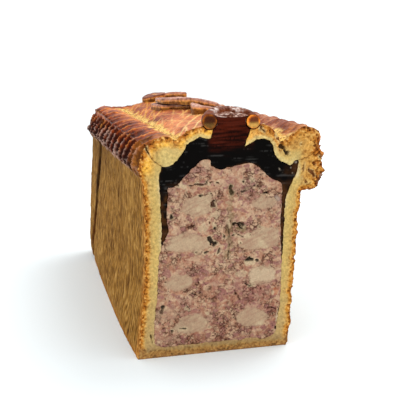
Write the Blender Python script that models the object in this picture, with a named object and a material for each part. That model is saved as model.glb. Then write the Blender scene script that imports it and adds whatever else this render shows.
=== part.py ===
"""Pate en croute: forcemeat and aspic baked in a dough case under a domed lid, cut open at one end.

The cut face looks along -Y and +Z is up. Lengths are in millimetres until they reach a mesh.
Each point of the cut face's outline is a "rail": it runs back along the left side, round the far
end and forward again along the right side. Rails side by side are joined into closed solids.
"""
from collections import namedtuple
from math import cos, pi, sin

import bmesh
import bpy
from mathutils import Vector

MM = 0.001

# The loaf as it came out of its mould
LENGTH = 222.0            # cut face to far end, along the base
HALF_WIDTH = 37.5         # half the base
LEAN = 0.063              # the loaf leans towards +X by this much of each height
CORNER = 12.0             # outer radius of the far corners, seen from above
INNER_CORNER = 7.0        # smallest radius of anything that turns inside them
RISE = 3.6                # rim and lid stand this much higher at the far end,
RISE_SKEW = 0.017         # and more so towards +X, by this for each millimetre
RISE_LOW = 70.0           # the rise sets in at this height
RISE_HIGH = 88.0          # and is complete at this one
GAP = 0.3                 # between two pieces that touch
BULGE = 0.09              # towards the far end all widths swell by this share,
BULGE_TOP = 88.0          # halfway up to this height, and less above and below

# Pinched rim: scoops between sharp crests
SIDE_CRIMPS = 17
CORNER_CRIMPS = 2
BACK_CRIMPS = 4
CRIMP_DEPTH = 3.0
CRIMP_SPREAD = 1.1        # above 1, crimps get longer towards the far end
SCOOP = ((0.0, 0.0), (0.3, -1.0), (0.7, -1.0), (1.0, 0.0))
ALL_CRIMPS = 2 * (SIDE_CRIMPS + CORNER_CRIMPS) + BACK_CRIMPS

# The end piece laps round the far corners, and its edge slopes
LAP_FOOT = 200.0          # how far back the edge is at the base
LAP_SLOPE = 0.42          # it comes forward by this much of each height
LAP_GAP = 0.6

# Chimney in the lid, cut in half by the cut face
CHIMNEY_X = 8.1
HOLE_RADIUS = 9.2
RING_RADIUS = 10.5
RING_TUBE = 3.35
RING_HEIGHT = 111.0
RING_TILT = 3.3           # the ring's far side stands this much higher
RING_STEPS, RING_SIDES = 14, 10
HOLE_SIDES = 32
HOLE_LOW, HOLE_HIGH = 95.0, 125.0      # the tool that cuts the hole
COLUMN = (                # aspic in the chimney, clear of the ring: radius, height
    (HOLE_RADIUS - GAP, 101.0),
    (HOLE_RADIUS - GAP, 107.2),
    (6.75, 109.6),
    (6.75, 113.2),
)

# A rail: its point on the left and on the right of the cut face (x, z), how much the crimps push
# it out and up, how far it drifts inwards along the left side, where it passes the far end
# (outwards from the mould, or None for the mean of both sides), and whether it has a point at
# each crimp though none pushes it.
Rail = namedtuple("Rail", "left right out up drift back fine", defaults=(0.0, 0.0, 0.0, None, False))

OUTER_WALL = [
    Rail((-37.5, 0.0), (37.5, 0.0), drift=-1.5),
    Rail((-36.6, 12.0), (39.2, 12.0), drift=-1.5),
    Rail((-34.6, 28.0), (40.0, 28.0), drift=-1.5),
    Rail((-33.3, 50.0), (41.6, 50.0), drift=-1.5),
    Rail((-33.4, 76.0), (42.8, 70.0), drift=-1.5),
    Rail((-34.0, 85.0), (44.2, 79.5), drift=-1.5),
]
RIM = [
    Rail((-36.3, 88.3), (50.3, 79.6), 0.6),
    Rail((-38.0, 92.0), (52.6, 87.0), 1.0),
    Rail((-38.0, 96.5), (56.0, 95.2), 1.0),
    Rail((-36.2, 100.5), (54.6, 98.0), 0.9, 0.3),
]
SEAM = [
    Rail((-33.3, 102.5), (52.2, 99.3), 0.5, 0.6),
    Rail((-32.0, 99.3), (50.5, 96.6), 0.2, 0.3),
    Rail((-29.5, 95.2), (46.0, 93.9), fine=True),
    Rail((-24.8, 91.3), (41.4, 92.2)),
]
INNER_WALL = [
    Rail((-24.7, 89.0), (41.2, 88.5)),
    Rail((-26.0, 81.0), (39.3, 83.8)),
    Rail((-25.4, 70.0), (36.0, 76.5)),
    Rail((-25.0, 61.0), (34.6, 61.0)),
    Rail((-25.6, 52.5), (34.0, 42.0)),
    Rail((-27.6, 32.0), (33.6, 26.0)),
    Rail((-29.1, 11.0), (32.2, 12.5)),
    Rail((-28.4, 6.7), (30.6, 6.8)),
    Rail((-26.0, 5.2), (28.0, 5.2)),
]
LID_UNDERSIDE = [
    Rail((-21.0, 91.3), (38.0, 90.3)),
    Rail((-17.2, 94.0), (33.0, 92.0)),
    Rail((-14.2, 98.6), (29.8, 96.0)),
    Rail((-10.0, 102.6), (27.2, 101.4)),
    Rail((-4.0, 103.9), (21.0, 102.6)),
    Rail((7.8, 104.5), (7.8, 104.5)),
]
LID_TOP = [
    Rail((-30.5, 103.6), (52.6, 103.6), 0.4, 0.8),
    Rail((-27.0, 104.5), (50.8, 106.3), 0.1, 0.7),
    Rail((-23.0, 105.0), (46.0, 108.6), 0.0, 0.4, 2.0),
    Rail((-19.5, 104.9), (40.0, 106.5), 0.0, 0.0, 4.0),
    Rail((-18.0, 104.0), (32.6, 102.4), 0.0, 0.0, 5.0),
    Rail((-15.0, 106.0), (30.6, 105.0), 0.0, 0.0, 5.0),
    Rail((-9.0, 108.6), (25.0, 109.4), 0.0, 0.0, 4.0),
    Rail((-2.0, 110.2), (17.0, 110.8), 0.0, 0.0, 1.0),
    Rail((7.8, 111.4), (7.8, 111.4)),
]
FILLING_TOP = [
    Rail((7.3, 90.0), (7.3, 90.0)),
    Rail((-1.2, 91.3), (15.5, 91.4)),
    Rail((-4.5, 94.0), (20.0, 90.8)),
    Rail((-9.0, 91.0), (23.4, 88.0)),
    Rail((-16.0, 83.9), (28.5, 83.9)),
    Rail((-22.3, 81.3), (32.9, 81.6)),
]
FILLING_SIDE = [                       # beside the aspic that ran down between meat and crust
    Rail((-22.3, 75.5), (33.5, 75.5)),
    Rail((-22.7, 69.0), (33.4, 69.0)),
    Rail((-22.4, 61.0), (32.9, 61.0)),
    Rail((-24.4, 55.4), (32.6, 44.0)),
]


# Single rails: where the flat parts end, and two corners of the aspic
BACK_EDGE = -13.0                      # the end piece closes this far inside its far face
END_UNDER = Rail((0.0, 0.0), (0.0, 0.0), back=BACK_EDGE)
END_FLOOR = Rail((0.3, 5.0), (0.3, 5.0), back=BACK_EDGE)
FILLING_FLOOR = Rail((0.3, 5.5), (0.3, 5.5))
ASPIC_FOOT = Rail((-25.0, 54.2), (33.4, 43.4))
ASPIC_CORNER = Rail((-24.2, 91.0), (40.9, 91.6))

# Pale pieces of meat: outline on the cut face, and how deep each one goes
CHUNKS = {
    "meat_chunk_1": (((-16, 70), (-13, 76), (-7, 77.5), (-1.8, 77), (-1.8, 69), (-9, 67.5)), 18.0),
    "meat_chunk_2": (((-23, 52.3), (-20.5, 58), (-14, 60), (-5, 57.5), (-2, 53), (-10, 50.6)), 20.0),
    "meat_chunk_3": (((12.5, 51), (15, 56), (22, 60), (31.4, 59.5), (31.3, 51), (22, 50)), 21.0),
    "meat_chunk_4": (((17, 38), (19, 41), (26, 41.5), (31, 39), (30, 34), (23, 31.8), (18, 33.5)), 16.0),
    "meat_chunk_5": (((-24, 35.5), (-20, 39.8), (-14, 40), (-10, 36.5), (-12.5, 33.2), (-19, 31.8)), 15.0),
    "meat_chunk_6": (((-20, 14), (-15, 19), (-8, 20), (-3, 16), (-6, 11.5), (-14, 10.8)), 17.0),
    "meat_chunk_7": (((11, 17), (15, 20.5), (23, 20), (28, 16), (24, 12), (14, 12)), 19.0),
    "meat_chunk_8": (((18.5, 72), (22, 75), (28, 75), (31, 72.5), (28, 69.6), (21, 69.6)), 14.0),
}
CHUNK_SIDES = 12
CHUNK_TAPER = ((0.0, 1.0), (0.45, 1.0), (0.8, 0.8), (1.0, 0.4))   # depth share, width share

# Open pockets in the cut face: two ends (x, z), width, depth
POCKET_TAPER = ((0.5, 0.9), (1.0, 0.5))                           # depth share, width share
OVERRUN = 1.0             # a tool starts this far in front of the cut face
DOUGH_POCKETS = (((32.6, 99.4), (35.6, 95.6), 1.8, 6.0),)
CASE_POCKETS = (((-31.0, 12.0), (-30.3, 7.6), 1.0, 5.0),)
MEAT_POCKETS = (
    ((-2.2, 64.4), (0.6, 62.6), 2.0, 4.0),
    ((9.5, 63.0), (14.0, 62.2), 1.8, 4.0),
    ((16.2, 44.8), (19.2, 45.4), 2.2, 4.0),
    ((-25.6, 22.4), (-24.4, 25.4), 2.0, 3.0),
    ((8.0, 80.8), (8.4, 77.6), 1.8, 4.0),
    ((24.0, 77.2), (26.6, 77.6), 1.4, 3.0),
)

# Dough ornaments on the lid: corners (x, y, height of the upper face), and height of the underside.
# What lies inside the lid or in an ornament further up this list is cut away.
ORNAMENT_ROUND = 0.9      # the upper edge is rounded off by this much
ORNAMENTS = {
    "ornament_front": (((2, 53, 116.9), (8, 47, 116.2), (16, 50, 115.2), (19, 74, 115), (16, 92, 115.2),
                        (11.5, 92, 116.6)), 107.5),
    "ornament_low": (((-4.5, 108, 114.7), (3, 102, 115), (11, 95, 115.2), (15, 106, 115), (15, 130, 115),
                      (4, 146, 114.8), (-5, 136, 114.6)), 107.5),
    "ornament_leaf": (((-2.2, 187, 116.6), (0, 178, 117.4), (7, 172, 119), (13, 175, 119.8), (14, 188, 120.2),
                       (9, 197, 119.8), (1, 196, 118.2)), 110.0),
    "ornament_top": (((-3.5, 108, 118.4), (0, 98, 118.8), (9, 76, 119.4), (16, 59, 117.6), (19.5, 58, 116.4),
                      (20, 80, 118), (14, 112, 119), (8, 140, 118.2), (-2, 136, 118)), 115.3),
    "ornament_strip": (((3.5, 131, 121.4), (8.5, 127, 121.9), (15.5, 127, 121.7), (17, 130, 121.4),
                        (15.5, 133.5, 121.4), (8.5, 135, 121.7)), 115.3),
}

# Base colour (linear), roughness
COLOURS = {
    "crust": ((0.33, 0.15, 0.045), 0.75),
    "glazed_crust": ((0.24, 0.065, 0.03), 0.4),
    "aspic": ((0.012, 0.006, 0.006), 0.15),
    "forcemeat": ((0.47, 0.26, 0.19), 0.6),
    "pale_meat": ((0.58, 0.42, 0.3), 0.55),
}


# ---------------------------------------------------------------- rails

def smooth(value):
    """0 to 1 with soft ends, held outside that range."""
    value = min(max(value, 0.0), 1.0)
    return value * value * (3.0 - 2.0 * value)


def turn_of(crimp):
    """Turn at a number of crimps: 0-1 left side, 1-2 corner, 2-3 far end, 3-4 corner, 4-5 right side."""
    if crimp > ALL_CRIMPS / 2:
        return 5.0 - turn_of(ALL_CRIMPS - crimp)
    if crimp <= SIDE_CRIMPS:
        return (crimp / SIDE_CRIMPS) ** CRIMP_SPREAD
    if crimp <= SIDE_CRIMPS + CORNER_CRIMPS:
        return 1.0 + (crimp - SIDE_CRIMPS) / CORNER_CRIMPS
    return 2.0 + (crimp - SIDE_CRIMPS - CORNER_CRIMPS) / BACK_CRIMPS


def crimp_of(turn):
    """Number of crimps at a turn."""
    if turn > 2.5:
        return ALL_CRIMPS - crimp_of(5.0 - turn)
    if turn <= 1.0:
        return SIDE_CRIMPS * max(turn, 0.0) ** (1.0 / CRIMP_SPREAD)
    if turn <= 2.0:
        return SIDE_CRIMPS + (turn - 1.0) * CORNER_CRIMPS
    return SIDE_CRIMPS + CORNER_CRIMPS + (turn - 2.0) * BACK_CRIMPS


def scoop(turn):
    """How far the crimps push at a turn: 0 on a crest, -1 in a scoop."""
    part = crimp_of(turn) % 1.0
    for (low, low_push), (high, high_push) in zip(SCOOP, SCOOP[1:]):
        if part <= high:
            return low_push + (high_push - low_push) * (part - low) / (high - low)
    return 0.0


FINE_TURNS = [turn_of(k + part) for k in range(ALL_CRIMPS) for part, _ in SCOOP[:-1]] + [5.0]
HALF_COARSE = [0.0, 1 / 3, 2 / 3, 1.0, 4 / 3, 5 / 3, 2.0, 2.25]
NEVER = 99.0
COARSE_TURNS = [*HALF_COARSE, 2.5, *(5.0 - turn for turn in reversed(HALF_COARSE))]


def turns_of(rail):
    return FINE_TURNS if rail.out or rail.up or rail.fine else COARSE_TURNS


def outward(point, side):
    """Distance of a cut-face point outside the mould's upright side, with the lean taken out."""
    return side * (point[0] - LEAN * point[1]) - HALF_WIDTH


def far_outward(rail):
    if rail.back is not None:
        return rail.back
    return (outward(rail.left, -1) + outward(rail.right, 1)) / 2


def corner_radius(out, room):
    return min(max(CORNER + out, INNER_CORNER), room)


def straight_end(rail, push=0.0):
    """Where a rail leaves the straight side and enters the far corner."""
    out = far_outward(rail) + push
    return LENGTH + out - corner_radius(out, LENGTH)


def rise_share(height):
    return smooth((height - RISE_LOW) / (RISE_HIGH - RISE_LOW))


def locate(rail, turn):
    """Place of a rail at a turn, in millimetres."""
    push = scoop(turn) * CRIMP_DEPTH
    share = smooth((turn - 1.0) / 3.0)
    height = rail.left[1] + (rail.right[1] - rail.left[1]) * share
    swell = BULGE * sin(pi * min(height / BULGE_TOP, 1.0)) * min(turn, 5.0 - turn, 1.0)
    left = -(HALF_WIDTH + outward(rail.left, -1)) * (1.0 + swell) - rail.out * push
    left += rail.drift * min(turn, 1.0)
    right = (HALF_WIDTH + outward(rail.right, 1)) * (1.0 + swell) + rail.out * push
    out = far_outward(rail) + rail.out * push
    far = LENGTH + out
    deep = corner_radius(out, LENGTH)
    wide_left = corner_radius(outward(rail.left, -1) + rail.out * push, (right - left) / 2)
    wide_right = corner_radius(outward(rail.right, 1) + rail.out * push, (right - left) / 2)
    if turn <= 1.0:
        x, y = left, turn * (far - deep)
    elif turn <= 2.0:
        angle = (turn - 1.0) * pi / 2
        x, y = left + wide_left * (1 - cos(angle)), far - deep * (1 - sin(angle))
    elif turn <= 3.0:
        start, end = left + wide_left, right - wide_right
        x, y = start + (end - start) * (turn - 2.0), far
    elif turn <= 4.0:
        angle = (4.0 - turn) * pi / 2
        x, y = right - wide_right * (1 - cos(angle)), far - deep * (1 - sin(angle))
    else:
        x, y = right, (5.0 - turn) * (far - deep)
    x += LEAN * height
    rise = (RISE + RISE_SKEW * x) * rise_share(height) * y / LENGTH
    return Vector((x, y, height + rail.up * push + rise))


def lap_y(height):
    """Where the end piece's sloping edge crosses a rail of this height."""
    return (LAP_FOOT - LAP_SLOPE * height) / (1 + LAP_SLOPE * RISE * rise_share(height) / LENGTH)


def lap_turn(rail, side, gap):
    """The turn on one side, counted from the cut face, where that edge crosses a rail."""
    point = rail.left if side < 0 else rail.right
    return (lap_y(point[1]) + gap) / straight_end(rail)


def offset(rails, distance):
    """The same rails, moved to the right of their course on the left half, mirrored on the right."""
    moved = []
    last = len(rails) - 1
    for k, rail in enumerate(rails):
        before, after = rails[max(k - 1, 0)], rails[min(k + 1, last)]
        left = aside(before.left, rail.left, after.left, distance)
        right = aside(before.right, rail.right, after.right, -distance)
        if rail.left == rail.right:                # both halves meet here, so it moves straight up or down
            left = right = (rail.left[0], rail.left[1] + (distance if k == 0 else -distance))
        moved.append(rail._replace(left=left, right=right))
    return moved


def aside(before, point, after, distance):
    """A polyline's corner, moved at right angles to both its sides."""
    here = Vector(point)
    ways = [(b - a).normalized() for a, b in ((Vector(before), here), (here, Vector(after))) if a != b]
    if not ways:
        return point
    normals = [Vector((way.y, -way.x)) for way in ways]
    middle = sum(normals, Vector((0.0, 0.0))).normalized()
    return tuple(here + middle * distance / max(middle.dot(normals[0]), 0.5))


# ---------------------------------------------------------------- meshes

def join_rows(bm, first, second):
    """Faces between two rows of (turn, vertex), which may have different numbers of points."""
    i = j = 0
    while i < len(first) - 1 or j < len(second) - 1:
        (turn_i, vertex_i), (turn_j, vertex_j) = first[i], second[j]
        next_i, ahead_i = first[i + 1] if i < len(first) - 1 else (NEVER, None)
        next_j, ahead_j = second[j + 1] if j < len(second) - 1 else (NEVER, None)
        if abs(turn_i - turn_j) + abs(next_i - next_j) < 1e-6:
            bm.faces.new((vertex_i, ahead_i, ahead_j, vertex_j))
            i, j = i + 1, j + 1
        elif turn_i + next_i < turn_j + next_j:
            bm.faces.new((vertex_i, ahead_i, vertex_j))
            i += 1
        else:
            bm.faces.new((vertex_i, ahead_j, vertex_j))
            j += 1


def finish(bm, name, colour, round_piece=False):
    """Turn a bmesh in millimetres into an object in metres, closed and with its faces out."""
    bmesh.ops.remove_doubles(bm, verts=bm.verts, dist=0.001)
    open_edges = [edge for edge in bm.edges if edge.is_boundary]
    bmesh.ops.holes_fill(bm, edges=open_edges, sides=0)
    bmesh.ops.triangulate(bm, faces=bm.faces)      # curved faces are split before any cut
    bmesh.ops.recalc_face_normals(bm, faces=bm.faces)
    bmesh.ops.scale(bm, vec=(MM, MM, MM), verts=bm.verts)
    mesh = bpy.data.meshes.new(name)
    bm.to_mesh(mesh)
    bm.free()
    if round_piece:
        mesh.shade_smooth()
        mesh.set_sharp_from_angle(angle=pi / 4)
    if colour:
        mesh.materials.append(MATERIALS[colour])
    piece = bpy.data.objects.new(name, mesh)
    bpy.context.scene.collection.objects.link(piece)
    return piece


def make_material(name, colour, roughness):
    material = bpy.data.materials.new(name)
    material.use_nodes = True
    shader = material.node_tree.nodes["Principled BSDF"]
    shader.inputs["Base Color"].default_value = (*colour, 1.0)
    shader.inputs["Roughness"].default_value = roughness
    material.diffuse_color = (*colour, 1.0)
    return material


def rail_solid(name, colour, rails, lap=None):
    """A solid whose skin follows rails all the way round, closed at the cut face or at the lap."""
    bm = bmesh.new()
    rows = []
    for rail in rails:
        start, stop = 0.0, 5.0
        if lap is not None:
            start, stop = lap_turn(rail, -1, lap), 5.0 - lap_turn(rail, 1, lap)
        inside = [turn for turn in turns_of(rail) if start + 1e-4 < turn < stop - 1e-4]
        rows.append([(turn, bm.verts.new(locate(rail, turn))) for turn in [start, *inside, stop]])
    for first, second in zip(rows, rows[1:]):
        join_rows(bm, first, second)
    return finish(bm, name, colour)


def trough_solid(name, colour, rails):
    """The case: rails from the cut face to the lap, on both sides, joined across the base."""
    bm = bmesh.new()
    rows = []
    for side, course in ((-1, rails), (1, list(reversed(rails)))):
        for rail in course:
            stop = lap_turn(rail, side, 0.0)
            turns = [turn for turn in turns_of(rail) if turn < stop - 1e-4] + [stop]
            places = [locate(rail, turn if side < 0 else 5.0 - turn) for turn in turns]
            rows.append([(turn, bm.verts.new(place)) for turn, place in zip(turns, places)])
    for first, second in zip(rows, rows[1:] + rows[:1]):
        join_rows(bm, first, second)
    return finish(bm, name, colour)


def loft(name, colour, rings, round_piece=False):
    """A solid through closed rings of equally many points, with flat ends."""
    bm = bmesh.new()
    rows = [[bm.verts.new(point) for point in ring] for ring in rings]
    for first, second in zip(rows, rows[1:]):
        for k in range(len(first)):
            after = (k + 1) % len(first)
            bm.faces.new((first[k], first[after], second[after], second[k]))
    return finish(bm, name, colour, round_piece)


def change(piece, tools, operation="DIFFERENCE"):
    """One Boolean modifier with tool objects that aren't part of the model."""
    group = bpy.data.collections.new(f"{operation.lower()} for {piece.name}")
    for tool in tools:
        tool.hide_render = True
        tool.display_type = "WIRE"
        group.objects.link(tool)
    modifier = piece.modifiers.new(operation.capitalize(), "BOOLEAN")
    modifier.operation = operation
    modifier.operand_type = "COLLECTION"
    modifier.collection = group


def closed_curve(corners, count):
    """Points evenly spread on a smooth closed curve through the corners (uniform Catmull-Rom)."""
    points = []
    for k in range(count):
        place = k * len(corners) / count
        i, t = int(place), place % 1.0
        a, b, c, d = (Vector(corners[(i + j) % len(corners)]) for j in (-1, 0, 1, 2))
        points.append(0.5 * (2 * b + (c - a) * t + (2 * a - 5 * b + 4 * c - d) * t * t
                             + (3 * b - a - 3 * c + d) * t ** 3))
    return points


def widen(points, distance):
    """A closed outline moved outwards everywhere by the same distance."""
    area = sum(a.x * b.y - b.x * a.y for a, b in zip(points, points[1:] + points[:1]))
    reach = distance if area > 0 else -distance
    count = len(points)
    return [Vector(aside(points[k - 1], points[k], points[(k + 1) % count], reach)) for k in range(count)]


# ---------------------------------------------------------------- pieces

def make_crust():
    """Case of base and two long walls, and the end piece that laps round its far corners."""
    walls = OUTER_WALL + RIM + SEAM + INNER_WALL
    case = trough_solid("crust_case", "crust", walls)
    change(case, make_pockets("case_pocket", CASE_POCKETS))
    rail_solid("crust_end", "crust", [END_UNDER, *walls, END_FLOOR], lap=LAP_GAP)


def make_pockets(name, pockets):
    return [make_pocket(f"{name}_{k}", *pocket) for k, pocket in enumerate(pockets)]


def make_pocket(name, start, end, width, depth):
    """Tool for a pocket in the cut face: six-sided, narrowing inwards."""
    start, end = Vector(start), Vector(end)
    along = (end - start).normalized()
    across = Vector((-along.y, along.x)) * width / 2
    middle = (start + end) / 2
    outline = [start, start + along * width / 2 + across, end - along * width / 2 + across,
               end, end - along * width / 2 - across, start + along * width / 2 - across]
    rings = []
    for place, share in ((-OVERRUN / depth, 1.0), *POCKET_TAPER):
        flat = [middle + (point - middle) * share for point in outline]
        rings.append([(point.x, place * depth, point.y) for point in flat])
    return loft(name, None, rings)


def make_lid():
    """Lid with its rolled, pinched border, cut for the chimney and its ring."""
    seam = offset(list(reversed(SEAM)), GAP)
    rails = [*reversed(LID_UNDERSIDE), *seam, *LID_TOP]
    lid = rail_solid("lid", "glazed_crust", rails)
    seat = ring_solid("ring_seat", None, GAP)
    change(lid, [chimney_tool(), seat, *make_pockets("dough_pocket", DOUGH_POCKETS)])
    return rails


def chimney_tool():
    rings = []
    for z in (HOLE_LOW, HOLE_HIGH):
        angles = [2 * pi * k / HOLE_SIDES for k in range(HOLE_SIDES)]
        rings.append([(CHIMNEY_X + HOLE_RADIUS * cos(a), HOLE_RADIUS * sin(a), z) for a in angles])
    return loft("chimney_hole", None, rings)


def ring_solid(name, colour, grow):
    """Half a dough ring round the chimney. A grown one also runs on past the cut face."""
    rings = []
    tube = RING_TUBE + grow
    overrun = OVERRUN if grow else 0.0
    for k in range(RING_STEPS + 1):
        angle = pi * k / RING_STEPS
        base = Vector((-cos(angle), sin(angle), 0.0)) * RING_RADIUS
        middle = base + Vector((CHIMNEY_X, 0.0, RING_HEIGHT + RING_TILT * sin(angle)))
        if k in (0, RING_STEPS):
            middle.y -= overrun
        aim = base.normalized()
        turns = [2 * pi * j / RING_SIDES for j in range(RING_SIDES)]
        rings.append([middle + aim * tube * cos(t) + Vector((0, 0, tube * sin(t))) for t in turns])
    return loft(name, colour, rings, round_piece=True)


def make_aspic(lid_rails):
    """Aspic between lid and meat, down both sides of the meat and up into the chimney."""
    over_meat = offset(FILLING_TOP + FILLING_SIDE, GAP)
    beside_crust = offset(SEAM[-1:] + INNER_WALL[:5], -GAP)[1:-1]
    under_lid = offset([SEAM[-1], *LID_UNDERSIDE], GAP)[1:]
    rails = [*over_meat, ASPIC_FOOT, *reversed(beside_crust), ASPIC_CORNER, *under_lid]
    aspic = rail_solid("aspic", "aspic", rails)
    change(aspic, [column_tool()], "UNION")


def column_tool():
    """Aspic in the chimney, as a half column."""
    rings = []
    for radius, z in COLUMN:
        angles = [2 * pi * k / HOLE_SIDES for k in range(HOLE_SIDES // 2 + 1)]
        rings.append([(CHIMNEY_X + radius * cos(a), radius * sin(a), z) for a in angles])
    return loft("aspic_column", None, rings)


def make_filling():
    """Forcemeat, with room for the pale pieces and with open pockets in the cut face."""
    below = offset(INNER_WALL, -GAP)[4:]
    rails = [*FILLING_TOP, *FILLING_SIDE, *below, FILLING_FLOOR]
    meat = rail_solid("filling", "forcemeat", rails)
    tools = make_pockets("meat_pocket", MEAT_POCKETS)
    for name, (corners, depth) in CHUNKS.items():
        outline = closed_curve([Vector(corner) for corner in corners], CHUNK_SIDES)
        loft(name, "pale_meat", chunk_rings(outline, depth, 0.0))
        tools.append(loft(f"room_{name}", None, chunk_rings(widen(outline, GAP), depth + GAP, OVERRUN)))
    change(meat, tools)


def chunk_rings(outline, depth, overrun):
    middle = sum(outline, Vector((0.0, 0.0))) / len(outline)
    rings = []
    for place, share in CHUNK_TAPER:
        y = place * depth - (overrun if place == 0.0 else 0.0)
        flat = [middle + (point - middle) * share for point in outline]
        rings.append([(point.x, y, point.y) for point in flat])
    return rings


def make_ornaments(lid_rails):
    """Flat dough shapes laid on the lid and on each other, each cut to fit what carries it."""
    carrier = rail_solid("lid_form", None, lid_rails)
    for vertex in carrier.data.vertices:
        vertex.co.z += GAP * MM
    carriers = [carrier]
    top_name = list(ORNAMENTS)[-1]
    for name, (corners, underside) in ORNAMENTS.items():
        curve = closed_curve([Vector(corner) for corner in corners], 3 * len(corners))
        piece = loft(name, "glazed_crust", ornament_rings(curve, underside, 0.0))
        change(piece, carriers)
        if name != top_name:
            carriers.append(loft(f"under_{name}", None, ornament_rings(curve, underside, GAP)))


def ornament_rings(curve, underside, grow):
    outline = [point.xy for point in curve]
    outer, inner = widen(outline, grow), widen(outline, grow - ORNAMENT_ROUND)
    low = [(flat.x, flat.y, underside - grow) for flat in outer]
    side = [(flat.x, flat.y, point.z - ORNAMENT_ROUND + grow) for flat, point in zip(outer, curve)]
    top = [(flat.x, flat.y, point.z + grow) for flat, point in zip(inner, curve)]
    return low, side, top


def centre_on_floor():
    """Move everything so that the origin is the middle of the footprint, on the floor."""
    graph = bpy.context.evaluated_depsgraph_get()
    points = []
    for piece in bpy.data.objects:
        if not piece.hide_render:
            points += [vertex.co.copy() for vertex in piece.evaluated_get(graph).data.vertices]
    low = Vector([min(point[axis] for point in points) for axis in range(3)])
    high = Vector([max(point[axis] for point in points) for axis in range(3)])
    for piece in bpy.data.objects:
        piece.location = (-(low.x + high.x) / 2, -(low.y + high.y) / 2, -low.z)


for old in list(bpy.data.objects):
    bpy.data.objects.remove(old, do_unlink=True)
MATERIALS = {name: make_material(name, *values) for name, values in COLOURS.items()}
make_crust()
LID_RAILS = make_lid()
ring_solid("chimney_ring", "glazed_crust", 0.0)
make_aspic(LID_RAILS)
make_filling()
make_ornaments(LID_RAILS)
centre_on_floor()
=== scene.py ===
"""Looks for the pate en croute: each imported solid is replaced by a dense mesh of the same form.

Lengths are in millimetres in the loaf's own frame: X along the cut face, Y back from it and Z up,
with the origin at the middle of the cut face's foot. A profile is drawn in the plane of the cut face
as (x, z) and carried round the loaf: back along the left side, round the far end and forward again
along the right side. A place on that way is a turn: 0-1 left side, 1-2 corner, 2-3 far end,
3-4 corner, 4-5 right side.
"""
import math

import bpy
import numpy as np
from mathutils import Euler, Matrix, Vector
from mathutils.geometry import delaunay_2d_cdt
from mathutils.kdtree import KDTree


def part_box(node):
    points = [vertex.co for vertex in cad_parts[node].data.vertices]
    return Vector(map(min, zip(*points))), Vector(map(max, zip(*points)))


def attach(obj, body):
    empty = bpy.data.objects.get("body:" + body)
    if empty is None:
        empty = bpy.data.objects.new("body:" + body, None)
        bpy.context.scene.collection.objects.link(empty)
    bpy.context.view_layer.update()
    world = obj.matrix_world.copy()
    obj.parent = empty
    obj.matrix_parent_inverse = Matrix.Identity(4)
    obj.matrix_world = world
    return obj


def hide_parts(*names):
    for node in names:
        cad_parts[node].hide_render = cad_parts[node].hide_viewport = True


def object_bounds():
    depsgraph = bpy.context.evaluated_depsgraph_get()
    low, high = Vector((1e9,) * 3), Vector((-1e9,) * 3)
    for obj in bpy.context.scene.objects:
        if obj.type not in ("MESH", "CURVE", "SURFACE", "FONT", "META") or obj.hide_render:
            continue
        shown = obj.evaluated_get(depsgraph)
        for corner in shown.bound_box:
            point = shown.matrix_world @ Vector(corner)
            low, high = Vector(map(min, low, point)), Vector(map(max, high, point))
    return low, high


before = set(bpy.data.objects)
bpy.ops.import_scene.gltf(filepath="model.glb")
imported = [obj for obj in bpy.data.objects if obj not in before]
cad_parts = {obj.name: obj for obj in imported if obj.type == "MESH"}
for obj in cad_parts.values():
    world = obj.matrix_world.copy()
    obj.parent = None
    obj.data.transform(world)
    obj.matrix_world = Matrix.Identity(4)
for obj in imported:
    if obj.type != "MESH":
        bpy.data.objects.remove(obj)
cad_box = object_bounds()

MM = 0.001
SHARP = math.radians(58)  # faces that meet at more than this show an edge
LIGHT = 0.88              # the studio light is brighter than the colours below allow for
WELD = 0.002              # points closer than this are one point

# The loaf, as in the solids
LENGTH = 222.0
HALF_WIDTH = 37.5
LEAN = 0.063
CORNER = 12.0
INNER_CORNER = 7.0
RISE = 4.0
RISE_LOW, RISE_HIGH = 70.0, 88.0
BULGE = 0.09
BULGE_TOP = 88.0
OUTER_DRIFT = -1.5
LAP_FOOT = 200.0
LAP_SLOPE = 0.42
LAP_GAP = 0.6
CHIMNEY_X = 8.1
HOLE_RADIUS = 9.2
RING_RADIUS = 10.5
RING_HEIGHT = 111.0
RING_TILT = 3.3

# Soft forms of the dough that the solids leave out
RISE_SKEW = 0.036         # the lid rises more on the right
FAR_LIFT = 2.8            # the far left shoulder stands higher
FAR_SHIFT = 3.4           # and further in
FAR_LOW, FAR_HIGH = 92.0, 101.0   # the shoulder starts and is whole at these heights
FOOT_BULGE = 2.0          # the foot of the long walls, midway
FOOT_HEIGHT = 45.0
RING_TUBE = 3.75

ring_low, ring_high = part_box("chimney_ring")
ORIGIN = np.array([(ring_low.x + ring_high.x) / 2 - CHIMNEY_X * MM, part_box("filling")[0].y,
                   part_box("crust_case")[0].z])


# ---- noise

def lattice(cell, seed):
    """Repeatable numbers from 0 to 1 for whole-number points."""
    mixed = cell[..., 0] * 73856093 ^ cell[..., 1] * 19349663 ^ cell[..., 2] * 83492791 ^ seed * 40503
    mixed = (mixed ^ (mixed >> 13)) * 1274126177 & 0x7FFFFFFF
    mixed = (mixed ^ (mixed >> 15)) * 1103515245 & 0x7FFFFFFF
    return (mixed ^ (mixed >> 16)) / 0x7FFFFFFF


def wave(points, size, seed):
    """Smooth noise from -1 to 1 that changes over about `size`: one number, or one for each axis."""
    scaled = points / np.asarray(size, float) + seed * 17.31
    cell = np.floor(scaled).astype(np.int64)
    part = scaled - cell
    part = part * part * (3 - 2 * part)
    total = np.zeros(points.shape[:-1])
    for corner in np.ndindex(2, 2, 2):
        weight = np.prod(np.where(corner, part, 1 - part), axis=-1)
        total += weight * lattice(cell + np.array(corner), seed)
    return 2 * total - 1


def waves(points, size, *seeds):
    """Vectors with one wave for each seed."""
    return np.stack([wave(points, size, seed) for seed in seeds], axis=-1)


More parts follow.
